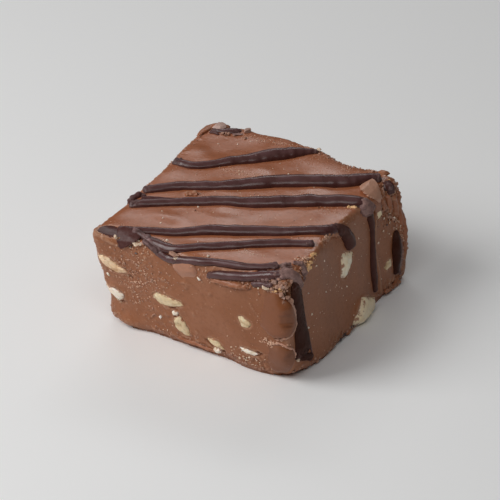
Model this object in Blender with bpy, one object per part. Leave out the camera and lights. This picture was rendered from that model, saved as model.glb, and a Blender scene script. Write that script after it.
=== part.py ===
"""Rocky road: one hand-cut square of milk chocolate with chopped nuts in it and dark chocolate piped over it.

Each sub-part is one named object. The numbers are in millimetres, and MM turns them into Blender's metres.
+X runs along the front cut face to the right, +Y to the back, +Z up, and the block stands on z = 0.
"""

import math

import bmesh
import bpy
from mathutils import Vector
from mathutils.bvhtree import BVHTree

MM = 0.001
X_AXIS = Vector((1, 0, 0))
Y_AXIS = Vector((0, 1, 0))
Z_AXIS = Vector((0, 0, 1))

# Driving sizes
HEIGHT = 27.0
HALF_X = 26.5
HALF_Y = 30.0
GRID_ACROSS = 22
GRID_UP = 12
TOP_ROUND = 1.5
BOTTOM_ROUND = 0.7
GAP = 0.3
FLAT_WITHIN = 0.02 * MM

# The four cut lines of the block at its top, as (distance along the edge, distance across it)
TOP_FRONT = [(-26, -31.2), (-13, -30.3), (0, -30.4), (12, -30.8), (26, -30.2)]
TOP_BACK = [(-28, 30.6), (-19, 32.9), (-7, 32.9), (2, 32.0), (8, 30.0), (14, 28.4), (21, 28.6), (27, 28.0)]
TOP_LEFT = [(-30, -25.6), (0, -26.2), (30, -28.8)]
TOP_RIGHT = [(-30, 25.4), (-14, 25.2), (-4, 24.0), (4, 24.5), (14, 24.4), (20, 24.8), (27, 26.0)]

# The same four lines where the block meets the table
BOTTOM_FRONT = [(-26, -24.6), (-14, -25.8), (-5, -26.6), (4, -27.3), (14, -29.3), (27, -29.6)]
BOTTOM_BACK = [(-27, 29.0), (0, 30.2), (15, 28.4), (28, 27.4)]
BOTTOM_LEFT = [(-24, -24.4), (0, -25.6), (28, -27.0)]
BOTTOM_RIGHT = [(-27, 27.2), (-12, 28.6), (3, 29.4), (12, 28.6), (26, 29.4)]

# Where handling has worn an edge rounder: middle, reach along X, Y and Z, and the extra radius
WORN = [
    ((15, -30, 27), (13, 9, 12), 2.9),
    ((26, 27, 27), (9, 10, 12), 2.4),
    ((-25, -28, 0), (8, 8, 9), 1.5),
    ((26, -28, 0), (7, 7, 8), 1.6),
    ((-28, 31, 27), (6, 6, 8), 1.0),
]

# Swells and dents of the whole block: middle, reach, and how far it moves the surface
SWELLS = [
    ((29, 25, 13), 13, (1.0, 0.8, 0)),
    ((0, -30, 14), 16, (0, -0.5, 0)),
    ((25, -29, 13), 12, (0.2, -1.3, 0)),
    ((4, 4, 27), 22, (0, 0, 0.4)),
    ((-18, 22, 27), 12, (0, 0, -0.3)),
]

# Chopped nuts that the cuts go through: middle of the cut, half sizes, and turn about X, Y and Z in degrees
NUTS = {
    "nut_front_left_upper": ((-20.4, -29.2, 18.8), (4.1, 2.6, 1.4), (0, 18, 4)),
    "nut_front_left_lower": ((-21.4, -27.1, 10.0), (2.7, 3.0, 1.5), (0, 24, 10)),
    "nut_front_middle": ((-6.4, -28.6, 12.4), (4.3, 3.2, 1.6), (0, 9, 0)),
    "nut_front_middle_lower": ((-3.1, -27.8, 6.0), (3.4, 2.6, 1.2), (0, 52, 0)),
    "nut_front_base": ((6.5, -28.4, 4.9), (2.3, 2.2, 0.9), (0, 30, 0)),
    "nut_front_right": ((15.2, -30.6, 14.1), (1.9, 2.2, 1.4), (0, 24, 0)),
    "nut_front_right_base": ((16.0, -30.0, 6.4), (2.8, 2.0, 0.7), (0, 14, 0)),
    "nut_side_middle": ((26.0, -1.9, 16.2), (2.2, 1.9, 3.6), (-36, 0, 0)),
    "nut_side_base": ((28.4, 3.9, 3.1), (2.6, 5.2, 2.4), (-12, 0, 0)),
    "nut_side_upper": ((25.8, 17.0, 20.8), (2.0, 1.2, 1.6), (10, 0, 0)),
    "nut_side_back": ((28.2, 18.0, 8.0), (2.0, 1.5, 1.4), (20, 0, 0)),
}
NUT_FLUSH = 0.12
NUT_STANDS_PROUD = {"nut_side_base": 0.9, "nut_front_left_lower": 0.5}

# Piped dark chocolate: the route that each stripe follows over the block, and its half width at its start,
# middle and end. The routes are brought onto the block's surface, so their heights only choose the side.
STRIPES = {
    "stripe_far_corner": ([(-27.2, 28.8, 27), (-23.0, 27.8, 27), (-19.6, 29.0, 27), (-16.4, 30.8, 27)],
                          (1.3, 1.1, 1.0)),
    "stripe_1": ([(-25.6, 8.2, 27), (-22.0, 7.8, 27), (-18.6, 9.0, 27), (-12.6, 14.3, 27), (-7.0, 20.4, 27),
                  (-1.2, 26.2, 27), (3.4, 29.4, 27)], (1.3, 1.3, 0.8)),
    "stripe_2": ([(-24.6, -8.4, 27), (-20.6, -5.1, 27), (-17.0, -2.4, 27), (-9.0, 1.7, 27), (-2.6, 6.1, 27),
                  (3.0, 10.8, 27), (8.8, 14.0, 27), (14.8, 17.8, 27), (19.6, 21.0, 27), (22.4, 22.9, 27)],
                 (1.4, 1.5, 1.3)),
    "stripe_3": ([(-23.6, -16.4, 27), (-19.4, -13.5, 27), (-11.6, -8.6, 27), (-6.6, -5.9, 27),
                  (0.6, -2.6, 27), (7.4, 1.4, 27), (15.8, 6.8, 27), (20.4, 9.2, 27), (23.8, 11.0, 27),
                  (25.4, 12.4, 25), (26.0, 12.6, 21), (26.6, 11.8, 15), (27.6, 10.4, 9), (28.2, 11.6, 3.2)],
                 (1.3, 1.4, 1.0)),
    "stripe_4": ([(-23.6, -29.4, 27), (-21.2, -29.0, 27), (-18.6, -27.6, 27), (-13.6, -25.4, 27),
                  (-7.4, -22.6, 27), (-1.6, -18.8, 27), (4.8, -15.8, 27), (15.2, -10.2, 27),
                  (21.0, -6.6, 27), (24.0, -3.6, 27), (25.4, -1.0, 26), (26.0, 1.0, 21.4)], (1.3, 1.4, 2.0)),
    "stripe_5": ([(-16.2, -31.2, 24.8), (-16.4, -30.4, 27), (-14.4, -29.2, 27), (-11.6, -28.8, 27),
                  (-8.8, -29.2, 27), (-5.8, -29.2, 27), (-2.4, -28.4, 27), (2.4, -25.4, 27),
                  (7.8, -22.0, 27), (11.2, -19.4, 27), (16.4, -16.4, 27), (23.6, -12.4, 27)],
                 (1.6, 1.1, 1.1)),
    "stripe_6": ([(-9.4, -31.4, 25.6), (-7.6, -31.4, 24.0), (-4.4, -31.2, 23.8), (-1.0, -31.0, 25.2),
                  (2.4, -30.8, 26.4), (7.0, -29.6, 27), (12.0, -28.6, 27), (16.6, -27.4, 27),
                  (19.6, -26.0, 27), (21.2, -24.4, 27), (23.4, -23.0, 27), (25.2, -22.6, 26),
                  (25.8, -22.6, 24)], (0.8, 0.8, 0.9)),
    "stripe_7": ([(5.2, -31.0, 23.0), (8.0, -31.0, 24.2), (12.4, -30.8, 25.2), (16.4, -30.2, 26),
                  (19.8, -29.4, 27), (22.4, -28.2, 27), (24.4, -27.4, 27), (25.6, -27.2, 25),
                  (26.2, -27.2, 20), (26.8, -27.0, 13), (27.2, -26.4, 7), (27.6, -25.8, 3.8)],
                 (0.7, 1.2, 2.3)),
    "stripe_8": ([(16.4, -31.2, 24.4), (19.4, -31.0, 25.0), (22.2, -30.8, 25.4)], (0.6, 0.7, 0.6)),
    "stripe_back_corner": ([(27.6, 22.4, 17), (28.4, 21.6, 11), (28.9, 22.2, 5)], (1.2, 1.8, 1.1)),
    "stripe_corner_chunk": ([(24.3, 23.7, 26.6), (25.5, 22.8, 24.8)], (1.9, 1.9, 1.9)),
}
STRIPE_STEP = 2.2
STRIPE_SINK = 0.15
STRIPE_TIP = 0.55

COLOURS = {
    "milk_chocolate": (0.29, 0.13, 0.075),
    "dark_chocolate": (0.045, 0.022, 0.018),
    "nut": (0.62, 0.47, 0.29),
}


def clear_scene():
    for obj in list(bpy.data.objects):
        bpy.data.objects.remove(obj, do_unlink=True)


def collection(name):
    made = bpy.data.collections.new(name)
    bpy.context.scene.collection.children.link(made)
    return made


def material(name, roughness):
    made = bpy.data.materials.new(name)
    made.use_nodes = True
    shader = made.node_tree.nodes["Principled BSDF"]
    shader.inputs["Base Color"].default_value = (*COLOURS[name], 1)
    shader.inputs["Roughness"].default_value = roughness
    made.diffuse_color = (*COLOURS[name], 1)
    return made


def mix(a, b, t):
    return a + (b - a) * t


def along_line(line, at):
    """How far across a cut line is at one place along it, easing from each of its points to the next."""
    if at <= line[0][0]:
        return line[0][1]
    for (start, here), (end, there) in zip(line, line[1:]):
        if at <= end:
            t = (at - start) / (end - start)
            return mix(here, there, t * t * (3 - 2 * t))
    return line[-1][1]


def nearness(point, middle, reach):
    """1 at the middle, falling smoothly to almost nothing at the reach and beyond."""
    away = sum(((p - m) / r) ** 2 for p, m, r in zip(point, middle, reach))
    return math.exp(-1.5 * away)


def edge_radius(p):
    """How round the box's edges are near a point."""
    above = Vector((p.x, p.y, p.z + HEIGHT / 2))
    worn = sum(extra * nearness(above, middle, reach) for middle, reach, extra in WORN)
    return mix(BOTTOM_ROUND, TOP_ROUND, above.z / HEIGHT) + worn


def rounded(p):
    """A point of the plain box, pulled in so that the box's edges are round there."""
    radius = edge_radius(p)
    half_sizes = (HALF_X, HALF_Y, HEIGHT / 2)
    inner = Vector(max(radius - half, min(half - radius, c)) for c, half in zip(p, half_sizes))
    out = p - inner
    return inner + out.normalized() * radius if out.length > 0 else p


def cut_to_shape(p):
    """Moves a point of the rounded box to the block, between the cut lines at its top and its bottom."""
    u = (p.x + HALF_X) / (2 * HALF_X)
    v = (p.y + HALF_Y) / (2 * HALF_Y)
    w = (p.z + HEIGHT / 2) / HEIGHT
    left = mix(along_line(BOTTOM_LEFT, p.y), along_line(TOP_LEFT, p.y), w)
    right = mix(along_line(BOTTOM_RIGHT, p.y), along_line(TOP_RIGHT, p.y), w)
    front = mix(along_line(BOTTOM_FRONT, p.x), along_line(TOP_FRONT, p.x), w)
    back = mix(along_line(BOTTOM_BACK, p.x), along_line(TOP_BACK, p.x), w)
    shaped = Vector((mix(left, right, u), mix(front, back, v), w * HEIGHT))
    for middle, reach, push in SWELLS:
        shaped += Vector(push) * nearness(shaped, middle, (reach, reach, reach)) * min(1, 4 * w)
    return shaped


def spread(cells):
    """Places of the grid lines from -1 to 1, closer together towards the edges."""
    return [math.sin(math.pi / 2 * (2 * i / cells - 1)) for i in range(cells + 1)]


def block_mesh(name):
    """A cube whose sides are grids, rounded and then cut to the block's shape."""
    bm = bmesh.new()
    bmesh.ops.create_cube(bm, size=2)
    for axis, cells in ((X_AXIS, GRID_ACROSS), (Y_AXIS, GRID_ACROSS), (Z_AXIS, GRID_UP)):
        for cut in spread(cells)[1:-1]:
            geometry = bm.verts[:] + bm.edges[:] + bm.faces[:]
            bmesh.ops.bisect_plane(bm, geom=geometry, plane_co=axis * cut, plane_no=axis)
    for vert in bm.verts:
        boxed = Vector((vert.co.x * HALF_X, vert.co.y * HALF_Y, vert.co.z * HEIGHT / 2))
        vert.co = cut_to_shape(rounded(boxed)) * MM
    underside = [face for face in bm.faces if all(vert.co.z < FLAT_WITHIN for vert in face.verts)]
    for vert in {vert for face in underside for vert in face.verts}:
        vert.co.z = 0
    bmesh.ops.dissolve_faces(bm, faces=underside)
    bmesh.ops.recalc_face_normals(bm, faces=bm.faces)
    mesh = bpy.data.meshes.new(name)
    bm.to_mesh(mesh)
    bm.free()
    return mesh


def add_object(name, mesh, group, finish=None):
    obj = bpy.data.objects.new(name, mesh)
    group.objects.link(obj)
    if finish:
        mesh.materials.append(finish)
        mesh.shade_smooth()
    return obj


def add_helper(name, mesh, group):
    obj = add_object(name, mesh, group)
    obj.hide_render = True
    obj.display_type = "WIRE"
    return obj


def boolean(obj, operation, other):
    made = obj.modifiers.new(operation.title(), "BOOLEAN")
    made.operation = operation
    made.solver = "EXACT"
    made.object = other


def grow(obj, distance):
    made = obj.modifiers.new("Grow", "DISPLACE")
    made.strength = distance * MM
    made.mid_level = 0


def nut_mesh(name, half_sizes, bigger=0.0):
    """A chopped nut: a ball drawn out to its half sizes, with one shoulder fuller than the other."""
    bm = bmesh.new()
    bmesh.ops.create_icosphere(bm, subdivisions=2, radius=1)
    for vert in bm.verts:
        fuller = 1 + 0.12 * math.sin(2.1 * vert.co.x + 1.3 * vert.co.z) + 0.06 * math.cos(3 * vert.co.y)
        vert.co = Vector(c * fuller * (h + bigger) * MM for c, h in zip(vert.co, half_sizes))
    mesh = bpy.data.meshes.new(name)
    bm.to_mesh(mesh)
    bm.free()
    return mesh


def put(obj, middle, turn):
    obj.location = Vector(middle) * MM
    obj.rotation_euler = [math.radians(a) for a in turn]


def evaluated_mesh(obj):
    """The object's mesh with its modifiers, in world space."""
    bpy.context.view_layer.update()
    graph = bpy.context.evaluated_depsgraph_get()
    mesh = bpy.data.meshes.new_from_object(obj.evaluated_get(graph))
    mesh.transform(obj.matrix_world)
    return mesh


def surface_of(obj):
    """A search tree over the object's surface."""
    bm = bmesh.new()
    bm.from_mesh(evaluated_mesh(obj))
    tree = BVHTree.FromBMesh(bm)
    bm.free()
    return tree


def smooth_route(points, step):
    """Points every step along the Catmull-Rom curve through the route's own points."""
    knots = [Vector(p) for p in points]
    knots = [2 * knots[0] - knots[1], *knots, 2 * knots[-1] - knots[-2]]
    route = []
    for a, b, c, d in zip(knots, knots[1:], knots[2:], knots[3:]):
        pieces = max(1, round((c - b).length / step))
        for i in range(pieces):
            t = i / pieces
            route.append(0.5 * (2 * b + (c - a) * t + (2 * a - 5 * b + 4 * c - d) * t * t
                                + (3 * b - a - 3 * c + d) * t ** 3))
    return [*route, knots[-2]]


def stripe_width(widths, t):
    """Half the stripe's width at t, which runs from 0 at its start to 1 at its end, where it closes in."""
    start, middle, end = widths
    body = mix(start, middle, min(1, 3 * t)) if t < 0.5 else mix(middle, end, max(0, 3 * t - 2))
    closing = min(1, STRIPE_TIP + 8 * min(t, 1 - t))
    return body * closing


def stripe_curve(name, route, widths, surface, group):
    """A tube laid along the block's surface, round in section until the block cuts its underside."""
    curve = bpy.data.curves.new(name, "CURVE")
    curve.dimensions = "3D"
    curve.bevel_depth = MM
    curve.bevel_resolution = 1
    curve.use_fill_caps = True
    spline = curve.splines.new("POLY")
    points = smooth_route(route, STRIPE_STEP)
    spline.points.add(len(points) - 1)
    for i, point in enumerate(points):
        nearest, normal, _, _ = surface.find_nearest(point * MM)
        width = stripe_width(widths, i / (len(points) - 1))
        middle = nearest + normal * (GAP - width * STRIPE_SINK) * MM
        spline.points[i].co = (*middle, 1)
        spline.points[i].radius = width
    obj = bpy.data.objects.new(name + "_curve", curve)
    group.objects.link(obj)
    return obj


def stripe_mesh(name, curve_obj):
    mesh = evaluated_mesh(curve_obj)
    mesh.name = name
    bm = bmesh.new()
    bm.from_mesh(mesh)
    bmesh.ops.remove_doubles(bm, verts=bm.verts, dist=0.01 * MM)
    bmesh.ops.recalc_face_normals(bm, faces=bm.faces)
    bm.to_mesh(mesh)
    bm.free()
    bpy.data.objects.remove(curve_obj, do_unlink=True)
    return mesh


def build():
    clear_scene()
    part = collection("rocky_road")
    helpers = collection("cutters")
    milk = material("milk_chocolate", 0.45)
    dark = material("dark_chocolate", 0.3)
    nutty = material("nut", 0.6)

    block = add_object("chocolate_block", block_mesh("chocolate_block"), part, milk)
    skin = add_helper("block_skin", block_mesh("block_skin"), helpers)
    grow(skin, GAP)
    surface = surface_of(block)

    trims = {}
    for proud in (NUT_FLUSH, *NUT_STANDS_PROUD.values()):
        trims[proud] = add_helper("nut_trim", block_mesh("nut_trim"), helpers)
        grow(trims[proud], proud)

    for name, (middle, half_sizes, turn) in NUTS.items():
        nut = add_object(name, nut_mesh(name, half_sizes), part, nutty)
        put(nut, middle, turn)
        boolean(nut, "INTERSECT", trims[NUT_STANDS_PROUD.get(name, NUT_FLUSH)])
        pocket = add_helper(name + "_pocket", nut_mesh(name + "_pocket", half_sizes, GAP), helpers)
        put(pocket, middle, turn)
        boolean(block, "DIFFERENCE", pocket)

    for name, (route, widths) in STRIPES.items():
        curve = stripe_curve(name, route, widths, surface, helpers)
        stripe = add_object(name, stripe_mesh(name, curve), part, dark)
        boolean(stripe, "DIFFERENCE", skin)


build()
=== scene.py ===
import math
import random

import bmesh
import bpy
import numpy as np
from mathutils import Matrix, Vector, noise
from mathutils.bvhtree import BVHTree


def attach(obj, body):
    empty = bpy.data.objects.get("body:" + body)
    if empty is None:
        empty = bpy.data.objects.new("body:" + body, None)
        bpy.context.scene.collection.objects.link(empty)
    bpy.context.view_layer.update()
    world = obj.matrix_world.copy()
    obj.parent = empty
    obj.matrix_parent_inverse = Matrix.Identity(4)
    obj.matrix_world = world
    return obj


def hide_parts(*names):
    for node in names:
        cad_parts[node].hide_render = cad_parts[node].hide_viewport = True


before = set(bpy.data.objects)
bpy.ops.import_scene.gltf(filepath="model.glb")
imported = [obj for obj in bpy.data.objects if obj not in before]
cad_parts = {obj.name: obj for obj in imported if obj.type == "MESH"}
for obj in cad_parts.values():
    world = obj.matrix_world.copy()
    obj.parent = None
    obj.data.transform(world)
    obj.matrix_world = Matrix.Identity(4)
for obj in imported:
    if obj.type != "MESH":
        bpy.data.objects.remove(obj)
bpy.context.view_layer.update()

# The looks of one square of rocky road: milk chocolate with chopped nuts and dark chocolate piped over it.
# Shapes are worked out in millimetres, as arrays of points, and MM turns them into metres.
MM = 0.001

# How fine the surfaces are
BLOCK_CELL = 0.38
SWEEP_STEP = 0.34
ROUND_SIDES = 22
TURNS = np.linspace(0, 2 * math.pi, ROUND_SIDES, endpoint=False)
OUTLINE_STEP = 0.32
SHARD_DETAIL = 4
SHARD_BREAKS = 14
CRUMB_BREAKS = 5

# The height of the block's top, and a distance well clear of the block on every side
TOP = 27
CLEAR = 60
# Points under this height belong to the flat underside
BASE_HEIGHT = 0.06
# Rounds of smoothing: over the whole block, and then over its poured top alone
ALL_ROUNDS = 12
TOP_ROUNDS = 60
# How far a point stands out of or behind its neighbourhood where it counts as fully worn or fully hollow
WORN_DEPTH = 0.5

# The view: the camera's way round the block, its height above the horizon, its distance and its lens
VIEW_AZIMUTH = 28.3
VIEW_ELEVATION = 29.4
VIEW_DISTANCE = 0.55
VIEW_TARGET = Vector((0, 0, 0.0133))
LENS = 165.9


# ---- Small tools ----

def mix(a, b, t):
    return a + (b - a) * t


def ease(value, low, high):
    """0 at low, 1 at high and a smooth step between them; low may be the larger one."""
    t = np.clip((value - low) / (high - low), 0, 1)
    return t * t * (3 - 2 * t)


def ripples(points, size, seed):
    """Smooth noise from about -1 to 1 at each point, with swells about one size across."""
    shift = Vector((seed * 7.31, seed * 3.17, seed * 5.73))
    return np.array([noise.noise(Vector(p) / size + shift) for p in np.asarray(points).tolist()])


def crags(points, size, seed):
    """Broken-looking noise from 0 to about 1: sharp valleys between rounded lumps."""
    return np.abs(ripples(points, size, seed)) + 0.5 * np.abs(ripples(points, size / 2.1, seed + 1))


def chunks(points, size, seed):
    """Noise of broken lumps about one size across: each at its own height, with creases between them."""
    shift = Vector((seed * 5.13, seed * 2.71, seed * 3.37))
    heights = []
    for p in np.asarray(points).tolist():
        away, nearest = noise.voronoi(Vector(p) / size + shift)
        heights.append(noise.noise(nearest[0] * 7.7) + 0.9 * min(1.0, 2.2 * (away[1] - away[0])) - 0.45)
    return np.array(heights)


def nearness(points, middle, reach):
    """1 at the middle, falling smoothly to almost nothing at the reach and beyond."""
    away = (((points - np.array(middle)) / np.array(reach)) ** 2).sum(1)
    return np.exp(-1.5 * away)


def unit(vectors):
    return vectors / np.maximum(np.linalg.norm(vectors, axis=-1, keepdims=True), 1e-9)


def rolling_mean(rows, reach):
    """Each row averaged with its neighbours up to reach places away."""
    padded = np.concatenate([rows[:1]] * reach + [rows] + [rows[-1:]] * reach)
    return sum(padded[i:i + len(rows)] for i in range(2 * reach + 1)) / (2 * reach + 1)


def curve_through(points, step, closed=False):
    """Points every step along the smooth curve through the given ones."""
    knots = [np.array(p, float) for p in points]
    if closed:
        knots = [knots[-1], *knots, knots[0], knots[1]]
    else:
        knots = [2 * knots[0] - knots[1], *knots, 2 * knots[-1] - knots[-2]]
    found = []
    for a, b, c, d in zip(knots, knots[1:], knots[2:], knots[3:]):
        pieces = max(1, round(np.linalg.norm(c - b) / step))
        for t in np.arange(pieces) / pieces:
            found.append(0.5 * (2 * b + (c - a) * t + (2 * a - 5 * b + 4 * c - d) * t * t
                                + (3 * b - a - 3 * c + d) * t ** 3))
    if not closed:
        found.append(knots[-2])
    return np.array(found)


def straight_through(points, step):
    """Points every step along the straight runs of a closed outline."""
    found = []
    for a, b in zip(points, np.roll(points, -1, 0)):
        pieces = max(1, round(np.linalg.norm(b - a) / step))
        found += [mix(a, b, t / pieces) for t in range(pieces)]
    return np.array(found)


def distance_to_route(points, route):
    """How far each point is from the nearest stretch of a route."""
    nearest = np.full(len(points), 1e9)
    for a, b in zip(route, route[1:]):
        run = b - a
        t = np.clip(((points - a) @ run) / max(run @ run, 1e-12), 0, 1)
        nearest = np.minimum(nearest, np.linalg.norm(points - a - t[:, None] * run, axis=1))
    return nearest


def depth_inside(points, loop):
    """How far each point is inside a closed loop, looked at face on; negative outside it, and far from it."""
    middle = loop.mean(0)
    facing = unit(sum(np.cross(a - middle, b - middle) for a, b in zip(loop, np.roll(loop, -1, 0))))
    across = unit(np.cross(facing, [0.3, 0.5, 0.8]))
    upward = np.cross(facing, across)
    away = points - middle
    spread = np.linalg.norm(loop - middle, axis=1).max() + 2
    near = np.nonzero((np.linalg.norm(away, axis=1) < spread) & (np.abs(away @ facing) < 4))[0]
    depth = np.full(len(points), -9.0)
    flat = np.stack([away[near] @ across, away[near] @ upward], 1)
    ring = np.stack([(loop - middle) @ across, (loop - middle) @ upward], 1)
    crossings = np.zeros(len(near), int)
    for a, b in zip(ring, np.roll(ring, -1, 0)):
        spans = (a[1] > flat[:, 1]) != (b[1] > flat[:, 1])
        rise = b[1] - a[1] if abs(b[1] - a[1]) > 1e-9 else 1e-9
        crossings += spans & (flat[:, 0] < a[0] + (flat[:, 1] - a[1]) / rise * (b[0] - a[0]))
    edge = distance_to_route(flat, np.concatenate([ring, ring[:1]]))
    depth[near] = np.where(crossings % 2 == 1, edge, -edge)
    return depth


def coordinates(mesh):
    found = np.empty(len(mesh.vertices) * 3)
    mesh.vertices.foreach_get("co", found)
    return found.reshape(-1, 3) / MM


def directions(mesh):
    found = np.empty(len(mesh.vertices) * 3)
    mesh.vertex_normals.foreach_get("vector", found)
    return found.reshape(-1, 3)


def set_coordinates(mesh, points):
    mesh.vertices.foreach_set("co", (np.asarray(points) * MM).ravel())
    mesh.update()


def add_values(mesh, name, values):
    """Stores one number for each vertex, which the finishes read by its name."""
    made = mesh.attributes.new(name, "FLOAT", "POINT")
    made.data.foreach_set("value", np.asarray(values, np.float32))


# Edges sharper than this many degrees stay crisp: on most pieces, on lumps and on crumbs
SHARP = 60
SHARP_LUMP = 30
SHARP_CRUMB = 25


def make_piece(name, points, faces, finish, sharp=SHARP, **values):
    """A shown piece from its points in millimetres, with the numbers for each point that its finish reads."""
    points = np.array(points)
    points[:, 2] = np.maximum(points[:, 2], 0)
    mesh = bpy.data.meshes.new(name)
    mesh.from_pydata((points * MM).tolist(), [], faces)
    mesh.validate()
    mesh.materials.append(finish)
    mesh.shade_smooth()
    mesh.set_sharp_from_angle(angle=math.radians(sharp))
    for key, numbers in values.items():
        add_values(mesh, key, np.broadcast_to(numbers, len(points)))
    piece = bpy.data.objects.new(name, mesh)
    bpy.context.scene.collection.objects.link(piece)
    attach(piece, "root")
    return piece


# ---- Finishes ----

class Group:
    """A shader node group with named inputs and outputs, or a material's own nodes."""

    def __init__(self, tree):
        self.tree = tree

    def add(self, kind, **settings):
        node = self.tree.nodes.new(kind)
        for key, value in settings.items():
            setattr(node, key, value)
        return node

    def link(self, source, target):
        self.tree.links.new(source, target)

    def feed(self, socket, value):
        """Links a socket to another one, or sets it to a number or a colour."""
        if isinstance(value, bpy.types.NodeSocket):
            self.link(value, socket)
        else:
            socket.default_value = (*value, 1) if isinstance(value, tuple) else value

    def maths(self, operation, a, b, clamp=False):
        node = self.add("ShaderNodeMath", operation=operation, use_clamp=clamp)
        self.feed(node.inputs[0], a)
        self.feed(node.inputs[1], b)
        return node.outputs[0]

    def times(self, a, b):
        return self.maths("MULTIPLY", a, b)

    def plus(self, a, b, clamp=False):
        return self.maths("ADD", a, b, clamp)

    def blend(self, amount, a, b, how="MIX"):
        """One colour turning into another as the amount goes from 0 to 1."""
        node = self.add("ShaderNodeMix", data_type="RGBA", blend_type=how, clamp_factor=True)
        self.feed(node.inputs["Factor"], amount)
        self.feed(node.inputs[6], a)
        self.feed(node.inputs[7], b)
        return node.outputs[2]

    def between(self, value, low, high, to_low=0.0, to_high=1.0):
        """Maps low and high to two other numbers, with a smooth step between them."""
        node = self.add("ShaderNodeMapRange", interpolation_type="SMOOTHSTEP", clamp=True)
        for socket, number in zip(node.inputs, (value, low, high, to_low, to_high)):
            self.feed(socket, number)
        return node.outputs[0]

    def place(self):
        return self.add("ShaderNodeTexCoord").outputs["Object"]

    def value_of(self, name):
        return self.add("ShaderNodeAttribute", attribute_name=name).outputs["Fac"]

    def noise(self, scale, detail=2.0, roughness=0.5, at=None, distortion=0.0):
        node = self.add("ShaderNodeTexNoise")
        self.feed(node.inputs["Vector"], at or self.place())
        self.feed(node.inputs["Scale"], scale)
        node.inputs["Detail"].default_value = detail
        node.inputs["Roughness"].default_value = roughness
        node.inputs["Distortion"].default_value = distortion
        return node.outputs["Fac"]


def new_group(name, inputs, outputs):
    """A node group with inputs given as (name, kind, default) and outputs as (name, kind)."""
    tree = bpy.data.node_groups.new(name, "ShaderNodeTree")
    for label, kind, default in inputs:
        socket = tree.interface.new_socket(label, in_out="INPUT", socket_type="NodeSocket" + kind)
        socket.default_value = default
    for label, kind in outputs:
        tree.interface.new_socket(label, in_out="OUTPUT", socket_type="NodeSocket" + kind)
    group = Group(tree)
    group.given = group.add("NodeGroupInput").outputs
    group.result = group.add("NodeGroupOutput").inputs
    return group


def mottling_group():
    """Uneven colour: broad patches of one tone over another, with a finer grain of the deep tone in both."""
    g = new_group("Mottled Colour",
                  [("Main", "Color", (0.5, 0.5, 0.5, 1)), ("Light", "Color", (0.6, 0.6, 0.6, 1)),
                   ("Deep", "Color", (0.3, 0.3, 0.3, 1)), ("Patches", "Float", 90.0),
                   ("Grain", "Float", 900.0), ("Light Amount", "Float", 0.5), ("Deep Amount", "Float", 0.3)],
                  [("Color", "Color"), ("Patch Mask", "Float")])
    broad = g.between(g.noise(g.given["Patches"], 3.0, 0.55, distortion=0.4), 0.38, 0.68)
    fine = g.between(g.noise(g.given["Grain"], 3.0, 0.6), 0.45, 0.75)
    toned = g.blend(g.times(broad, g.given["Light Amount"]), g.given["Main"], g.given["Light"])
    deep = g.blend(g.times(fine, g.given["Deep Amount"]), toned, g.given["Deep"])
    g.link(deep, g.result["Color"])
    g.link(broad, g.result["Patch Mask"])
    return g.tree


def specks_group():
    """Scattered specks: small spots, of which only some of the cells have one."""
    g = new_group("Fine Specks",
                  [("Cells", "Float", 900.0), ("Size", "Float", 0.2), ("Share", "Float", 0.1)],
                  [("Mask", "Float")])
    cells = g.add("ShaderNodeTexVoronoi")
    g.link(g.place(), cells.inputs["Vector"])
    g.link(g.given["Cells"], cells.inputs["Scale"])
    pick = g.add("ShaderNodeSeparateColor")
    g.link(cells.outputs["Color"], pick.inputs[0])
    chosen = g.maths("LESS_THAN", pick.outputs[0], g.given["Share"])
    core = g.times(g.given["Size"], 0.6)
    spot = g.between(cells.outputs["Distance"], core, g.given["Size"], 1.0, 0.0)
    g.link(g.times(chosen, spot), g.result["Mask"])
    return g.tree


def relief_group():
    """Low relief for a bump: a slow wave, a fine grain and, where it is asked for, small pits."""
    g = new_group("Surface Relief",
                  [("Wave", "Float", 150.0), ("Wave Amount", "Float", 0.3), ("Grain", "Float", 2500.0),
                   ("Grain Amount", "Float", 0.1), ("Pits", "Float", 0.0)],
                  [("Height", "Float")])
    wave = g.times(g.noise(g.given["Wave"], 2.0), g.given["Wave Amount"])
    grain = g.times(g.noise(g.given["Grain"], 4.0, 0.65), g.given["Grain Amount"])
    holes = g.between(g.noise(1400.0, 2.0, 0.6), 0.3, 0.42, -0.5, 0.0)
    sunk = g.times(holes, g.given["Pits"])
    g.link(g.plus(g.plus(wave, grain), sunk), g.result["Height"])
    return g.tree


MOTTLING = mottling_group()
SPECKS = specks_group()
RELIEF = relief_group()


def use(g, tree, **values):
    """Places a node group in a material, with its inputs set or linked by name."""
    node = g.add("ShaderNodeGroup", node_tree=tree)
    for key, value in values.items():
        g.feed(node.inputs[key.replace("_", " ")], value)
    return node.outputs


def new_finish(name, roughness, specular=0.5, subsurface=0.0):
    """A material and its Principled shader."""
    made = bpy.data.materials.new(name)
    made.use_nodes = True
    shader = made.node_tree.nodes["Principled BSDF"]
    shader.inputs["Roughness"].default_value = roughness
    shader.inputs["Specular IOR Level"].default_value = specular
    if subsurface:
        shader.inputs["Subsurface Weight"].default_value = subsurface
        shader.inputs["Subsurface Scale"].default_value = 1.2 * MM
        shader.inputs["Subsurface Radius"].default_value = (1.0, 0.6, 0.35)
    return Group(made.node_tree), shader, made


def bump(g, shader, height, strength, distance):
    node = g.add("ShaderNodeBump")
    node.inputs["Strength"].default_value = strength
    node.inputs["Distance"].default_value = distance * MM
    g.link(height, node.inputs["Height"])
    g.link(node.outputs["Normal"], shader.inputs["Normal"])


MILK_MAIN = (0.345, 0.114, 0.049)
MILK_LIGHT = (0.405, 0.155, 0.086)
MILK_DEEP = (0.205, 0.070, 0.027)
MILK_CUT = (0.90, 0.97, 0.90)
MILK_SMEAR_AND_SHADE = (0.170, 0.056, 0.020)
MILK_DUST = (0.430, 0.215, 0.125)
MILK_HOLLOW_SHADE = (0.170, 0.056, 0.026)
PALE_SPECK = (0.640, 0.450, 0.330)


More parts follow.
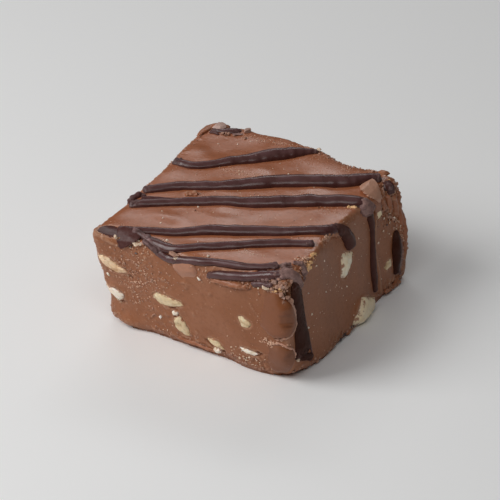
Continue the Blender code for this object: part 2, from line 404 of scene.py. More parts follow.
def milk_finish(name, tint=(0, 0, 0)):
    """Milk chocolate: satin on top, drier where it was cut, pale on broken edges, darker where smeared, and
    with painted shade down the front's right part and in hollows.
    """
    g, shader, made = new_finish(name, 0.42, 0.38)
    untinted = (MILK_MAIN, MILK_LIGHT, MILK_DEEP, MILK_DUST)
    main, light, deep, dust = (tuple(np.add(tone, tint)) for tone in untinted)
    cut = g.value_of("cut")
    broken = g.value_of("broken")
    worn = g.value_of("worn")
    tones = use(g, MOTTLING, Main=main, Light=light, Deep=deep, Patches=85.0, Grain=1200.0,
                Light_Amount=0.8, Deep_Amount=0.42)
    colour = g.blend(cut, tones["Color"], MILK_CUT, "MULTIPLY")
    # Darker where smeared, and with painted shade down the right part of the front
    colour = g.blend(g.value_of("smear"), colour, MILK_SMEAR_AND_SHADE)
    # Painted shade: darker in the hollows of the skin
    hollow = g.between(worn, 0.38, 0.0)
    colour = g.blend(hollow, colour, MILK_HOLLOW_SHADE)
    patchy = g.between(g.noise(1500.0, 3.0, 0.6), 0.3, 0.6, 0.3, 0.9)
    raised = g.times(g.between(worn, 0.56, 0.85), patchy)
    colour = g.blend(raised, colour, dust)
    dusty = g.times(broken, g.between(g.noise(1700.0, 3.0, 0.6), 0.45, 0.66, 0.0, 0.7))
    colour = g.blend(dusty, colour, dust)
    specks = use(g, SPECKS, Cells=700.0, Size=0.16, Share=0.05)["Mask"]
    crumbs = use(g, SPECKS, Cells=1150.0, Size=0.24, Share=0.09)["Mask"]
    colour = g.blend(g.times(specks, 0.8), colour, PALE_SPECK)
    colour = g.blend(g.times(g.times(crumbs, cut), 0.55), colour, dust)
    g.link(colour, shader.inputs["Base Color"])
    patch = g.between(tones["Patch Mask"], 0.0, 1.0, 0.23, 0.33)
    dull = g.plus(patch, g.times(cut, 0.2))
    g.link(g.plus(dull, g.times(broken, 0.15), clamp=True), shader.inputs["Roughness"])
    grain = g.plus(g.times(cut, 0.32), 0.07)
    height = use(g, RELIEF, Wave=160.0, Wave_Amount=0.5, Grain=2300.0, Grain_Amount=grain,
                 Pits=g.times(cut, 0.15))["Height"]
    bump(g, shader, height, 0.55, 0.35)
    return made


DARK_MAIN = (0.072, 0.022, 0.018)
DARK_LIGHT = (0.098, 0.034, 0.030)
DARK_SCUFF_AND_SHEEN = (0.120, 0.052, 0.054)
DARK_BREAK = (0.150, 0.088, 0.080)
DARK_CREST = (0.170, 0.095, 0.090)
DARK_SPECK = (0.420, 0.280, 0.240)


def dark_finish(name, gloss, main=DARK_MAIN, light=DARK_LIGHT, scuff_and_sheen=DARK_SCUFF_AND_SHEEN):
    """Dark chocolate: a satin sheen on the piped ridges, paler along their tops with scuffs and painted
    sheen, grey and dull where it was snapped, and with painted shade in hollows.
    """
    g, shader, made = new_finish(name, 0.33, gloss)
    broken = g.value_of("broken")
    worn = g.value_of("worn")
    ridge = g.between(g.value_of("ridge"), 0.35, 1.0)
    deep = tuple(np.multiply(main, 0.55))
    tones = use(g, MOTTLING, Main=main, Light=light, Deep=deep, Patches=260.0, Grain=1800.0,
                Light_Amount=0.6, Deep_Amount=0.5)
    # Paler along the tops of the ridges: partly scuffs and partly a painted sheen
    scuff_and_sheen_mask = g.times(ridge, g.between(g.noise(420.0, 3.0, 0.6), 0.30, 0.70, 0.1, 0.75))
    colour = g.blend(scuff_and_sheen_mask, tones["Color"], scuff_and_sheen)
    bloom = g.times(broken, g.between(g.noise(1500.0, 4.0, 0.7), 0.42, 0.66))
    colour = g.blend(bloom, colour, DARK_BREAK)
    colour = g.blend(g.between(worn, 0.6, 0.95, 0.0, 0.7), colour, DARK_CREST)
    # Painted shade: darker in hollows
    colour = g.blend(g.between(worn, 0.45, 0.1), colour, deep)
    specks = use(g, SPECKS, Cells=1000.0, Size=0.2, Share=0.03)["Mask"]
    colour = g.blend(g.times(specks, 0.55), colour, DARK_SPECK)
    g.link(colour, shader.inputs["Base Color"])
    sheen = g.between(g.noise(260.0, 2.0), 0.3, 0.7, 0.25, 0.36)
    g.link(g.plus(sheen, g.times(broken, 0.25), clamp=True), shader.inputs["Roughness"])
    grain = g.plus(g.times(broken, 0.5), 0.08)
    height = use(g, RELIEF, Wave=420.0, Wave_Amount=0.25, Grain=2800.0, Grain_Amount=grain)["Height"]
    bump(g, shader, height, 0.5, 0.25)
    return made


def nut_finish(name, main, light, deep):
    """Cut nut: cream with darker streaks, smeared with milk chocolate towards its edge, with painted shade in
    its hollows.
    """
    g, shader, made = new_finish(name, 0.55, 0.4, 0.12)
    rim = g.value_of("rim")
    streaks = g.add("ShaderNodeMapping")
    streaks.inputs["Scale"].default_value = (0.45, 0.8, 1.5)
    streaks.inputs["Rotation"].default_value = (0.2, 0.6, 0.1)
    g.link(g.place(), streaks.inputs["Vector"])
    tones = use(g, MOTTLING, Main=main, Light=light, Deep=deep, Patches=320.0, Grain=1300.0,
                Light_Amount=0.8, Deep_Amount=0.3)
    veins = g.between(g.noise(520.0, 3.0, 0.6, at=streaks.outputs[0]), 0.54, 0.70)
    colour = g.blend(g.times(veins, 0.5), tones["Color"], deep)
    ragged = g.plus(rim, g.between(g.noise(1000.0, 3.0), 0.2, 0.8, -0.3, 0.3))
    colour = g.blend(g.between(ragged, 0.80, 1.1, 0.0, 0.85), colour, MILK_MAIN)
    # Painted shade: darker in hollows
    colour = g.blend(g.between(g.value_of("worn"), 0.44, 0.15, 0.0, 0.6), colour, deep)
    g.link(colour, shader.inputs["Base Color"])
    g.link(g.between(tones["Patch Mask"], 0.0, 1.0, 0.62, 0.48), shader.inputs["Roughness"])
    height = use(g, RELIEF, Wave=600.0, Wave_Amount=0.4, Grain=2600.0, Grain_Amount=0.2)["Height"]
    bump(g, shader, height, 0.5, 0.25)
    return made


def crumb_finish(name, main, light, deep, roughness):
    """Loose crumbs, each of them uneven in tone."""
    g, shader, made = new_finish(name, roughness)
    tone = g.value_of("tone")
    tones = use(g, MOTTLING, Main=main, Light=light, Deep=deep, Patches=1100.0, Grain=3200.0,
                Light_Amount=0.8, Deep_Amount=0.4)
    colour = g.blend(g.times(tone, 0.7), tones["Color"], light)
    g.link(colour, shader.inputs["Base Color"])
    g.link(g.between(tone, 0.0, 1.0, roughness - 0.06, roughness + 0.06), shader.inputs["Roughness"])
    height = use(g, RELIEF, Wave=1500.0, Wave_Amount=0.5, Grain=4200.0, Grain_Amount=0.4)["Height"]
    bump(g, shader, height, 0.6, 0.15)
    return made


MILK = milk_finish("milk_chocolate_finish")
MILK_PINK = milk_finish("pale_milk_chocolate_finish", (0.105, 0.082, 0.070))
MILK_BLOOM = milk_finish("bloomed_milk_chocolate_finish", (0.210, 0.165, 0.145))
DARK = dark_finish("dark_chocolate_finish", 0.46)
# A darker, duller copy of the dark chocolate for the runs down the shaded right side: its darker colour is
# painted shade
DARK_RUN_PAINTED_SHADE = dark_finish("dark_run_painted_shade_finish", 0.04,
                       (0.048, 0.015, 0.009), (0.062, 0.021, 0.014), (0.066, 0.026, 0.018))
DARK_SIDE = dark_finish("dark_side_finish", 0.08,
                        (0.074, 0.026, 0.020), (0.095, 0.034, 0.026), (0.110, 0.050, 0.040))
DARK_SOFT = dark_finish("soft_dark_finish", 0.22)
# Torn strands: the pale pink lines along their ridge tops are partly torn bloom and partly a painted
# highlight
TORN = dark_finish("torn_dark_finish", 0.2,
                   (0.050, 0.020, 0.018), (0.080, 0.036, 0.034), (0.340, 0.200, 0.190))
BLOOMED = dark_finish("bloomed_chocolate_finish", 0.12,
                      (0.340, 0.205, 0.182), (0.440, 0.285, 0.255), (0.240, 0.132, 0.110))
NUT_CREAM = nut_finish("cream_nut_finish", (0.76, 0.58, 0.35), (0.86, 0.72, 0.48), (0.42, 0.26, 0.12))
# Nuts on the shaded right side get a paler copy of the nut colours, which paints in light that they don't get
NUT_PAINTED_LIGHT = nut_finish("nut_painted_light_finish", (0.97, 0.80, 0.54), (0.99, 0.92, 0.76), (0.88, 0.70, 0.46))
NUT_TOASTED = nut_finish("toasted_nut_finish", (0.86, 0.58, 0.35), (0.95, 0.74, 0.51), (0.52, 0.28, 0.13))
NUT_WHITE = nut_finish("white_nut_finish", (0.94, 0.83, 0.69), (0.97, 0.92, 0.84), (0.62, 0.45, 0.28))
CRUMB_MILK = crumb_finish("milk_crumb_finish",
                          (0.34, 0.16, 0.10), (0.48, 0.27, 0.19), (0.21, 0.08, 0.04), 0.5)
CRUMB_BLOOM = crumb_finish("bloomed_crumb_finish",
                           (0.46, 0.29, 0.235), (0.62, 0.43, 0.37), (0.28, 0.15, 0.11), 0.5)
CRUMB_PINK = crumb_finish("pink_crumb_finish",
                          (0.34, 0.19, 0.14), (0.48, 0.30, 0.24), (0.19, 0.09, 0.06), 0.5)
CRUMB_PALE = crumb_finish("pale_crumb_finish",
                          (0.62, 0.42, 0.28), (0.82, 0.66, 0.50), (0.40, 0.21, 0.11), 0.55)
CRUMB_DUST = crumb_finish("milk_dust_finish",
                          (0.54, 0.29, 0.185), (0.70, 0.44, 0.31), (0.34, 0.15, 0.08), 0.5)
CRUMB_WHITE = crumb_finish("white_crumb_finish",
                           (0.85, 0.68, 0.52), (0.92, 0.82, 0.70), (0.60, 0.40, 0.25), 0.55)
CRUMB_DARK = crumb_finish("dark_crumb_finish",
                          (0.05, 0.026, 0.021), (0.11, 0.065, 0.055), (0.02, 0.01, 0.01), 0.4)
CRUMB_GOLD = crumb_finish("toasted_crumb_finish",
                          (0.68, 0.35, 0.15), (0.88, 0.56, 0.27), (0.42, 0.16, 0.06), 0.45)


# ---- The block ----

NUT_NODES = [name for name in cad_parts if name.startswith("nut_")]
# How far a nut's solid grows, so that it closes the gap round it
POCKET_FILL = 0.45


def cut_side(name):
    """The way that a nut's cut face looks: out of the front or out of the right side."""
    return np.array([0.0, -1.0, 0.0]) if name.startswith("nut_front") else np.array([1.0, 0.0, 0.0])


def filled_nut(name):
    """A nut's solid, grown into the gap round it but not out of its cut face."""
    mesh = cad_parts[name].data
    facing = cut_side(name)
    growth = directions(mesh)
    outward = np.maximum(growth @ facing, 0)
    growth = growth - outward[:, None] * facing
    points = coordinates(mesh) + growth * POCKET_FILL
    return points, [list(face.vertices) for face in mesh.polygons]


def solid_block():
    """The block and its nuts as one close-meshed solid with even cells, and its flat underside."""
    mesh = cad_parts["chocolate_block"].data
    points = coordinates(mesh)
    faces = [list(face.vertices) for face in mesh.polygons]
    for name in NUT_NODES:
        more, polygons = filled_nut(name)
        faces += [[corner + len(points) for corner in face] for face in polygons]
        points = np.concatenate([points, more])
    joined = bpy.data.meshes.new("joined")
    joined.from_pydata((points * MM).tolist(), [], faces)
    holder = bpy.data.objects.new("holder", joined)
    bpy.context.scene.collection.objects.link(holder)
    remesh = holder.modifiers.new("Cells", "REMESH")
    remesh.mode = "VOXEL"
    remesh.voxel_size = BLOCK_CELL * MM
    graph = bpy.context.evaluated_depsgraph_get()
    fine = bpy.data.meshes.new_from_object(holder.evaluated_get(graph))
    bpy.data.objects.remove(holder, do_unlink=True)
    return fine


def relaxed(points, edges, rounds, keep):
    """Smooths a net of points; keep is 1 where a point stays."""
    count = len(points)
    links = np.bincount(edges.ravel(), minlength=count)[:, None]
    for _ in range(rounds):
        total = np.stack([np.bincount(edges[:, 0], points[edges[:, 1], k], count)
                          + np.bincount(edges[:, 1], points[edges[:, 0], k], count) for k in range(3)], 1)
        points = mix(points, mix(total / links, points, keep[:, None]), 0.5)
    return points


def skin_of(points, faces):
    return BVHTree.FromPolygons(points.tolist(), faces)


def seen(skin, starts, way):
    """Where straight looks from some starts, all of them the same way, meet the skin."""
    return np.array([skin.ray_cast(Vector(start), Vector(way))[0] for start in starts])


def on_front(skin, *places):
    """Points of the front face, from how far along and how high each of them is."""
    return seen(skin, [(x, -CLEAR, z) for x, z in places], (0, 1, 0))


def on_side(skin, *places):
    """Points of the right face, from how far back and how high each of them is."""
    return seen(skin, [(CLEAR, y, z) for y, z in places], (-1, 0, 0))


def on_left(skin, *places):
    """Points of the left face, from how far back and how high each of them is."""
    return seen(skin, [(-CLEAR, y, z) for y, z in places], (1, 0, 0))


def on_back(skin, *places):
    """Points of the back face, from how far along and how high each of them is."""
    return seen(skin, [(x, CLEAR, z) for x, z in places], (0, -1, 0))


def on_top(skin, *places):
    """Points of the top, from how far along and how far back each of them is."""
    return seen(skin, [(x, y, CLEAR) for x, y in places], (0, 0, -1))


# Where the top is a little higher or lower than its neighbourhood: middle, reach and height
TOP_SWELLS = [
    ((-2, -12), (7, 4), 0.3), ((10, -6), (5, 3), -0.1), ((-15, 14), (7, 4), 0.28),
    ((7.5, 23.6), (7, 5), 0.5), ((-5, 14.5), (4, 3), 0.34), ((-10, -20), (6, 3), -0.2),
    ((14, -22), (6, 3), 0.15), ((11.5, 12), (4, 3), 0.34), ((-22.6, 4), (3, 4), 0.25),
    ((-2.8, -6.6), (3.6, 3), 0.38), ((-23.6, 17), (3, 4), 0.3), ((-14, -17), (5, 3), 0.3)
]

# Where the block is fuller or leaner than its plain form: middle, reach and how far the skin goes there
SHAPED = [
    ((-24.5, -28, 8), (4, 4, 4.5), (1.4, 0.8, 0)), ((-25, -29.5, 15), (4, 4, 3), (0.8, 0.4, 0)),
    ((-26, -30, 21.5), (3, 3, 4), (0.5, 0.2, 0)), ((26.5, -30, 0), (5, 5, 5), (-1.3, 1.5, 0)),
    ((9, -30, 0), (6, 3, 3), (0, 1.1, 0)), ((29, 8, 2), (3, 6, 4), (-1, 0, 0)),
    ((27, 25, 19), (3, 5, 6), (-0.9, -0.3, 0)), ((29, 24, 4), (3, 5, 4), (-0.7, -0.3, 0)),
    ((12, 29, 27), (6, 3, 3), (0, -0.9, -0.2)), ((25, 28, 26), (3, 3, 3), (0.3, 0.4, 0.3)),
    ((-8, 31, 27), (5, 3, 2.5), (0, 0.8, 0.1)), ((-18.5, 31.5, 27), (3, 3, 2.5), (0, 0.8, 0.1)),
    ((-26, -16, 26), (2.5, 9, 3), (0.5, 0, -0.15)), ((-26, 14, 27), (2.5, 9, 3), (-0.3, 0, 0.1)),
    ((-13.5, -30, 26), (4, 2.5, 2.5), (0, 0.5, -0.5)), ((-6.5, -30, 26), (4, 2, 2.2), (0, 0.3, -0.6)),
    ((25, -29.6, 22.6), (1.6, 1.6, 2), (-0.9, 0.9, 0)), ((22.5, 12.2, 27), (3, 2.6, 2), (0, 0, 0.3)),
    ((25.6, -8, 27), (2, 5, 1.5), (0, 0, -0.25)), ((-18.5, -26, 0.5), (4.5, 4, 3.5), (-0.4, -2, 0)),
    ((4, 30.5, 27), (4, 3, 2.5), (0, 0.4, 0.1)), ((29, 8, 0), (3, 5, 3), (1.3, 0, 0)),
    ((28.5, -18, 0), (3, 10, 3), (0.7, 0, 0))
]

# Stretches of the rims that broke instead of being cut: middle, reach and how rough they are
BROKEN = [
    ((22.5, -29, 25.5), (6.5, 4, 4), 0.9), ((25.5, -23, 26), (3, 7, 2.6), 0.7),
    ((25, -6, 26.5), (2.2, 8, 1.8), 0.6), ((25, 6, 26.5), (2, 5, 1.6), 0.35),
    ((26.5, 22, 23.5), (5, 8, 7), 0.7), ((20, 29, 26), (9, 4, 4), 0.7), ((28.6, 24, 8), (3, 4, 9), 0.6),
    ((-24, 29, 26.5), (7, 4, 3), 0.6), ((6, 30.5, 26.5), (14, 2.5, 2.5), 0.5),
    ((13, -30.8, 25), (8, 2.4, 1.8), 0.5), ((-13, -30.5, 26), (6, 2, 2), 0.45),
    ((-26.5, 5, 26.5), (2, 26, 1.8), 0.35), ((20, -30.5, 4), (7, 4, 3.5), 0.55),
    ((29, 18, 1.5), (3, 9, 3), 0.8), ((28.6, -9, 1.5), (3, 6, 2.5), 0.7), ((-24, -26, 8), (3, 4, 7), 0.6)
]


def sides_of(normals):
    """How much each point belongs to the top, front, right, back and left of the block."""
    return {"top": ease(normals[:, 2], 0.55, 0.85), "front": ease(-normals[:, 1], 0.4, 0.75),
            "right": ease(normals[:, 0], 0.4, 0.75), "back": ease(normals[:, 1], 0.4, 0.75),
            "left": ease(-normals[:, 0], 0.4, 0.75)}


class Block:
    """The milk chocolate block: first a smooth skin for the other pieces to lie on, then its fine relief."""

    def __init__(self):
        self.mesh = solid_block()
        points = coordinates(self.mesh)
        edges = np.empty(len(self.mesh.edges) * 2, np.int32)
        self.mesh.edges.foreach_get("vertices", edges)
        self.edges = edges.reshape(-1, 2)
        self.faces = [list(face.vertices) for face in self.mesh.polygons]
        self.base = (points[:, 2] < BASE_HEIGHT).astype(float)
        points[:, 2] = np.where(self.base > 0, 0, points[:, 2])
        normals = directions(self.mesh)
        calm = ease(normals[:, 2], 0.93, 0.99)
        points = relaxed(points, self.edges, ALL_ROUNDS, self.base)
        points = relaxed(points, self.edges, TOP_ROUNDS, np.maximum(self.base, 1 - calm))
        set_coordinates(self.mesh, points)
        self.normals = directions(self.mesh)
        self.sides = sides_of(self.normals)
        self.points = self.waved(points)
        self.skin = skin_of(self.points, self.faces)
        self.cut = 1 - self.sides["top"]
        self.broken = np.zeros(len(points))
        self.relief = np.zeros(len(points))
        # Painted shade: the front gets darker towards its right. The same value also carries the smears of
        # the corner flap and foot.
        self.smear = 0.3 * self.sides["front"] * ease(self.points[:, 0], -6, 18)

    def waved(self, points):
        """Slow swells of the poured top and of the cut sides."""
        flat = points[:, :2]
        swell = 0.22 * ripples(points * [1, 1, 0], 15, 3) + 0.13 * ripples(points * [1, 1, 0], 5.5, 4)
        for middle, reach, height in TOP_SWELLS:
            swell += height * nearness(flat, middle, reach)
        cut = 0.18 * ripples(points, 9, 5) + 0.06 * ripples(points, 3.5, 6)
        move = swell * self.sides["top"] + cut * (1 - self.sides["top"])
        foot = ease(points[:, 2], 3.0, 0) * (1 - self.sides["top"])
        move += foot * (0.3 * ripples(points, 2.4, 8) - 0.55)
        points = points + self.normals * [1, 1, 0] * (move * self.base)[:, None]
        points = points + self.normals * (move * (1 - self.base))[:, None]
        for middle, reach, push in SHAPED:
            points = points + nearness(points, middle, reach)[:, None] * np.array(push)
        points[:, 2] = np.where(self.base > 0, 0, points[:, 2])
        return points

    def roughen(self):
        """Pits and crumbs of the cut faces, and the torn stretches of the rims."""
        points = self.points
        patchy = ease(ripples(points, 5, 11), -0.25, 0.3)
        left_half = ease(points[:, 0], 16, -4)
        cut_rough = (self.sides["front"] * (0.2 + 0.8 * left_half) + 0.15 * self.sides["right"]
                     + 0.7 * self.sides["back"] + 0.7 * self.sides["left"])
        fine = (0.09 * ripples(points, 1.0, 12) - 0.06 * ease(ripples(points, 1.0, 13), 0.32, 0.5)
                + 0.24 * ease(ripples(points, 1.0, 14), 0.30, 0.5))
        self.relief += fine * np.clip(cut_rough, 0, 1) * (0.25 + 0.75 * patchy)
        for middle, reach, strength in BROKEN:
            self.broken = np.maximum(self.broken, strength * nearness(points, middle, reach))
        self.broken *= ease(crags(points, 3.2, 15), 0.10, 0.35)
        torn = np.nonzero(self.broken > 0.04)[0]
        drawn = points[torn] * [1, 1, 0.5]
        rubble = 0.75 * chunks(drawn, 1.5, 17) + 0.4 * chunks(drawn, 0.85, 19) - 0.15
        self.relief[torn] += rubble * self.broken[torn]

    def groove(self, route, half, deep):
        """Sinks the skin along a route, or raises it when deep is negative."""
        self.relief -= deep * (1 - ease(distance_to_route(self.points, route), 0, half))

    def sink_under(self, loop, deep, edge=0.35):
        """Makes room for a piece that is set in."""
        depth = depth_inside(self.points, loop)
        sunk = -deep * ease(depth, -0.1, edge) + self.relief * (depth < 0)
        self.relief = np.where(depth > -0.1, sunk, self.relief)

    def finish(self):
        """Puts the relief on and hands the block over as a shown piece."""
        points = self.points + self.normals * (self.relief * (1 - self.base))[:, None]
        points[:, 2] = np.maximum(points[:, 2], 0)
        self.mesh.name = "milk_chocolate_block"
        set_coordinates(self.mesh, points)
        self.mesh.materials.clear()
        self.mesh.materials.append(MILK)
        self.mesh.shade_smooth()
        ground = relaxed(points, self.edges, ALL_ROUNDS, self.base)
        # How far each point stands out of or behind its smoothed neighbourhood: the finishes make high points
        # pale with wear and paint shade into low ones
        worn = 0.5 + ((points - ground) * directions(self.mesh)).sum(1) / WORN_DEPTH
        for name, values in (("cut", self.cut), ("broken", self.broken), ("smear", self.smear),
                             ("worn", np.clip(worn, 0, 1))):
            add_values(self.mesh, name, values)
        piece = bpy.data.objects.new("milk_chocolate_block", self.mesh)
        bpy.context.scene.collection.objects.link(piece)
        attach(piece, "root")
        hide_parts("chocolate_block")


# ---- Pieces set into the skin: nuts and patches ----

# How deep the flat backs of nuts and of patches lie, and how far their rims are tucked under the skin
NUT_DEPTH = 1.2
PATCH_DEPTH = 0.8
RIM_TUCK = 0.12


def dish_faces(rings, count):
    """Faces of rings of points about the first point, and of a flat back about the last one."""
    faces = [[0, 1 + j, 1 + (j + 1) % count] for j in range(count)]
    for ring in range(rings):
        near, far = 1 + ring * count, 1 + (ring + 1) * count
        faces += [[near + j, far + j, far + (j + 1) % count, near + (j + 1) % count] for j in range(count)]
    last = 1 + (rings + 1) * count
    faces += [[last, last - count + (j + 1) % count, last - count + j] for j in range(count)]
    return faces


def set_in(name, loop, skin, finish, proud, depth, rough, grain, seed, crown=4.0, torn=0.0, lapped=0.0,
           lift=None, **values):
    """A piece set into the skin inside a closed loop: a low crowned face, a wall and a flat back."""
    middle = loop.mean(0)
    if torn:
        jag = torn * (ripples(loop, 1.1, seed + 5) + 0.8 * ripples(loop, 0.5, seed + 6))
        loop = loop + unit(loop - middle) * jag[:, None]
    count = len(loop)
    rings = max(6, round(np.linalg.norm(loop - middle, axis=1).max() / OUTLINE_STEP)) - 1
    shares = np.sin(np.linspace(0, 1, rings + 1) * math.pi / 2)[1:]
    starts = [middle] + [mix(middle, corner, share) for share in shares for corner in loop]
    hits = [skin.find_nearest(Vector(start)) for start in starts]
    points = np.array([hit[0] for hit in hits])
    outs = unit(rolling_mean(np.array([hit[1] for hit in hits]), 2))
    rims = np.concatenate([[0.0], np.repeat(shares, count)])
    height = proud * (1 - rims ** crown) * (1 if lift is None else lift(points))
    bumps = rough * (chunks(points, grain * 2.2, seed) + 0.5 * ripples(points, grain, seed))
    height = height + bumps * (1 - 0.5 * rims)
    height = height - lapped * rims ** 2 * ease(ripples(points, 2.2, seed + 9), 0.0, 0.4)
    height = np.where(rims > 0.999, np.minimum(height, -RIM_TUCK), height)
    shell = points + outs * height[:, None]
    back = mix(points[0], shell[-count:], 0.85) - outs[-count:] * depth
    shell = np.concatenate([shell, back, [back.mean(0)]])
    values["rim"] = np.concatenate([rims, np.ones(count + 1)])
    values["worn"] = np.concatenate([np.clip(0.5 + bumps / 0.35, 0, 1), np.full(count + 1, 0.5)])
    return make_piece(name, shell, dish_faces(rings, count), finish, **values)


# Nuts by the face that shows them: outline on that face, finish and how far it stands out
FRONT_NUTS = {
    "nut_front_left_upper": ([(-24.2, 20.2), (-22.7, 20.7), (-21.2, 20.3), (-20, 19.5), (-18.6, 18.4),
        (-17, 18.1), (-16.4, 17.4), (-17.4, 16.8), (-19.3, 16.3), (-21.2, 16.4), (-22.4, 17.4),
        (-23.6, 18.6)], NUT_TOASTED, 0.35),
    "nut_front_left_lower": ([(-23.8, 11.5), (-21.7, 11.1), (-19.6, 11), (-18.5, 10), (-18.8, 8.6),
        (-20.2, 7.8), (-21.6, 8.6), (-23.2, 9.3), (-23.9, 10.4)], NUT_WHITE, 0.45),
    "nut_front_middle": ([(-10.5, 12.9), (-9.2, 13.8), (-7.2, 14), (-4.7, 13.7), (-2.8, 13.3), (-1.7, 12.6),
        (-2.6, 12), (-4.2, 11.4), (-6.2, 10.9), (-8.4, 10.9), (-9.8, 11.9)], NUT_CREAM, 0.3),
    "nut_front_middle_lower": ([(-5.1, 7.4), (-3.8, 9), (-2.8, 8.6), (-1.9, 7.3), (-1.2, 5.9), (-0.8, 3.6),
        (-2.3, 3.5), (-3.7, 4.2), (-4.9, 5.4)], NUT_CREAM, 0.4),
    "nut_front_base": ([(3.9, 5), (5.3, 5.7), (7, 5.3), (8.1, 4.4), (8.8, 3.3), (7.6, 3.3), (5.9, 3.4),
        (4.6, 4.1)], NUT_CREAM, 0.4),
    "nut_front_right": ([(13.3, 14.7), (14.3, 15.2), (15.2, 14.7), (16.3, 14.3), (16.9, 13.5), (16, 12.4),
        (14.2, 12.4), (13.7, 13.4)], NUT_CREAM, 0.25),
    "nut_front_right_base": ([(13.2, 6.5), (14.8, 6.6), (16.4, 6.5), (18.6, 6), (17.4, 5.3), (15.6, 5.2),
        (13.9, 5.8)], NUT_WHITE, 0.35),
}
SIDE_NUTS = {
    "nut_side_middle": ([(-2.2, 20.2), (0.2, 19.6), (2.6, 18.6), (1.4, 16.8), (-0.4, 15.4), (-2.6, 14),
        (-4.4, 15.2), (-3.2, 17.2), (-3.2, 18.8)], NUT_PAINTED_LIGHT, 0.4),
    "nut_side_base": ([(-2.2, 2), (-1, 4), (0.4, 5.4), (2.9, 6.6), (5.6, 5.4), (8.6, 3.8), (11.6, 2),
        (10.8, 0.6), (7.6, 0.3), (4.4, 0.5), (1.2, 0.5), (-1.6, 0.8)], NUT_PAINTED_LIGHT, 0.8),
    "nut_side_upper": ([(15.8, 23), (17.8, 22.7), (18, 21), (15.7, 20.6)], NUT_PAINTED_LIGHT, 0.4),
    "nut_side_back": ([(15.9, 8), (17.4, 9.2), (19.1, 9.1), (19, 7.2), (16.6, 6.9)], NUT_CREAM, 0.15),
}
FRONT_CHIPS = {
    "chip_over_lower_nut": ([(-5.3, 9.7), (-4.3, 10.5), (-3.4, 10), (-3.7, 8.9), (-5.1, 8.7)], NUT_WHITE,
        0.5),
    "chip_left_edge": ([(-22.9, 15.2), (-22.3, 15.3), (-21.9, 14.3), (-22.4, 14)], NUT_WHITE, 0.3),
    "chip_under_stripe": ([(2.7, 22.1), (3.3, 22.2), (3.9, 21.6), (3.2, 21.2)], NUT_WHITE, 0.4),
    "chip_low_left": ([(-9.4, 6.6), (-8.9, 7.3), (-8.4, 6.8), (-8.8, 5.9)], NUT_WHITE, 0.25),
    "chip_base": ([(5.2, 2.2), (6.2, 3.2), (7.5, 3.3), (7.5, 1.8), (6, 0.9)], NUT_WHITE, 0.6),
}
LEFT_NUTS = {
    "nut_left_upper": ([(12, 17.5), (10.2, 18.8), (7.6, 18.6), (5.6, 17.4), (6.4, 15.6), (8.8, 15),
        (11.2, 15.8)], NUT_CREAM, 0.3),
    "nut_left_near": ([(-8, 9.6), (-9.4, 11.6), (-11.6, 12.2), (-13, 10.4), (-12.2, 8), (-9.8, 7.4)],
        NUT_WHITE, 0.35),
    "nut_left_low": ([(22.4, 7.2), (20.2, 8.4), (17.4, 8), (16.2, 6.2), (18.4, 5.2), (21.2, 5.6)],
        NUT_TOASTED, 0.3),
    "nut_left_small": ([(-20.6, 20.4), (-22, 21.4), (-23.6, 20.6), (-23, 18.8), (-21.2, 18.6)], NUT_CREAM,
        0.3),
}
BACK_NUTS = {
    "nut_back_upper": ([(12.4, 16.4), (10, 18.4), (6.8, 18), (5.2, 16), (7.2, 14.2), (10.6, 14.4)],
        NUT_TOASTED, 0.3),
    "nut_back_middle": ([(-4, 8), (-6.4, 9.8), (-9.6, 9.4), (-11.2, 7.6), (-8.8, 6.2), (-5.6, 6.4)],
        NUT_CREAM, 0.35),
    "nut_back_corner": ([(-16.4, 19.6), (-18.2, 21.2), (-20.4, 20.6), (-21, 18.6), (-18.8, 17.6)],
        NUT_WHITE, 0.3),
    "nut_back_low": ([(20.2, 6.4), (18.4, 7.8), (16, 7), (15.8, 5.2), (18.2, 4.6)], NUT_CREAM, 0.3),
}
# Open cracks beside the nuts on the front: route, half width and depth
CRACKS = [
    ([(3.6, 4.2), (5, 3.2), (6.7, 3.2), (8.3, 2.7)], 0.55, 1),
    ([(-21.6, 8), (-20.3, 7.6), (-19.2, 7.7)], 0.6, 1.1), ([(-5.6, 10.7), (-3.8, 10.8)], 0.5, 0.8),
    ([(18.2, 6.3), (19.2, 6.1)], 0.5, 0.9), ([(-4.7, 8.3), (-3.6, 8.9)], 0.4, 0.6),
    ([(-16.2, 16.4), (-15.6, 16)], 0.5, 0.6)
]


def add_nuts(block):
    """Every nut shows a low uneven face in the cut that went through it."""
    kinds = ((on_front, FRONT_NUTS, 0.7, 0.2), (on_side, SIDE_NUTS, 0.7, 0.2),
             (on_front, FRONT_CHIPS, 0.4, 0.1), (on_left, LEFT_NUTS, 0.7, 0.2),
             (on_back, BACK_NUTS, 0.7, 0.2))
    for place, nuts, sunk, lapped in kinds:
        for seed, (name, (outline, finish, proud)) in enumerate(nuts.items()):
            loop = straight_through(place(block.skin, *outline), OUTLINE_STEP)
            block.sink_under(loop, sunk)
            piece = set_in(name + "_face", loop, block.skin, finish, proud, NUT_DEPTH, rough=0.13,
                           grain=1.1, seed=20 + seed, torn=0.14, lapped=lapped)
            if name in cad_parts:
                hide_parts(name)
    for route, half, deep in CRACKS:
        block.groove(on_front(block.skin, *route), half, deep)


def patch(block, name, loop, finish, slot, proud, **choices):
    """A low lump of chocolate on the skin, inside a closed loop."""
    values = {"cut": 0.3, "broken": 0.0, "smear": 0.0, **choices}
    loop = curve_through(loop, OUTLINE_STEP, closed=True)
    piece = set_in(name, loop, block.skin, finish, proud, PATCH_DEPTH, **values)


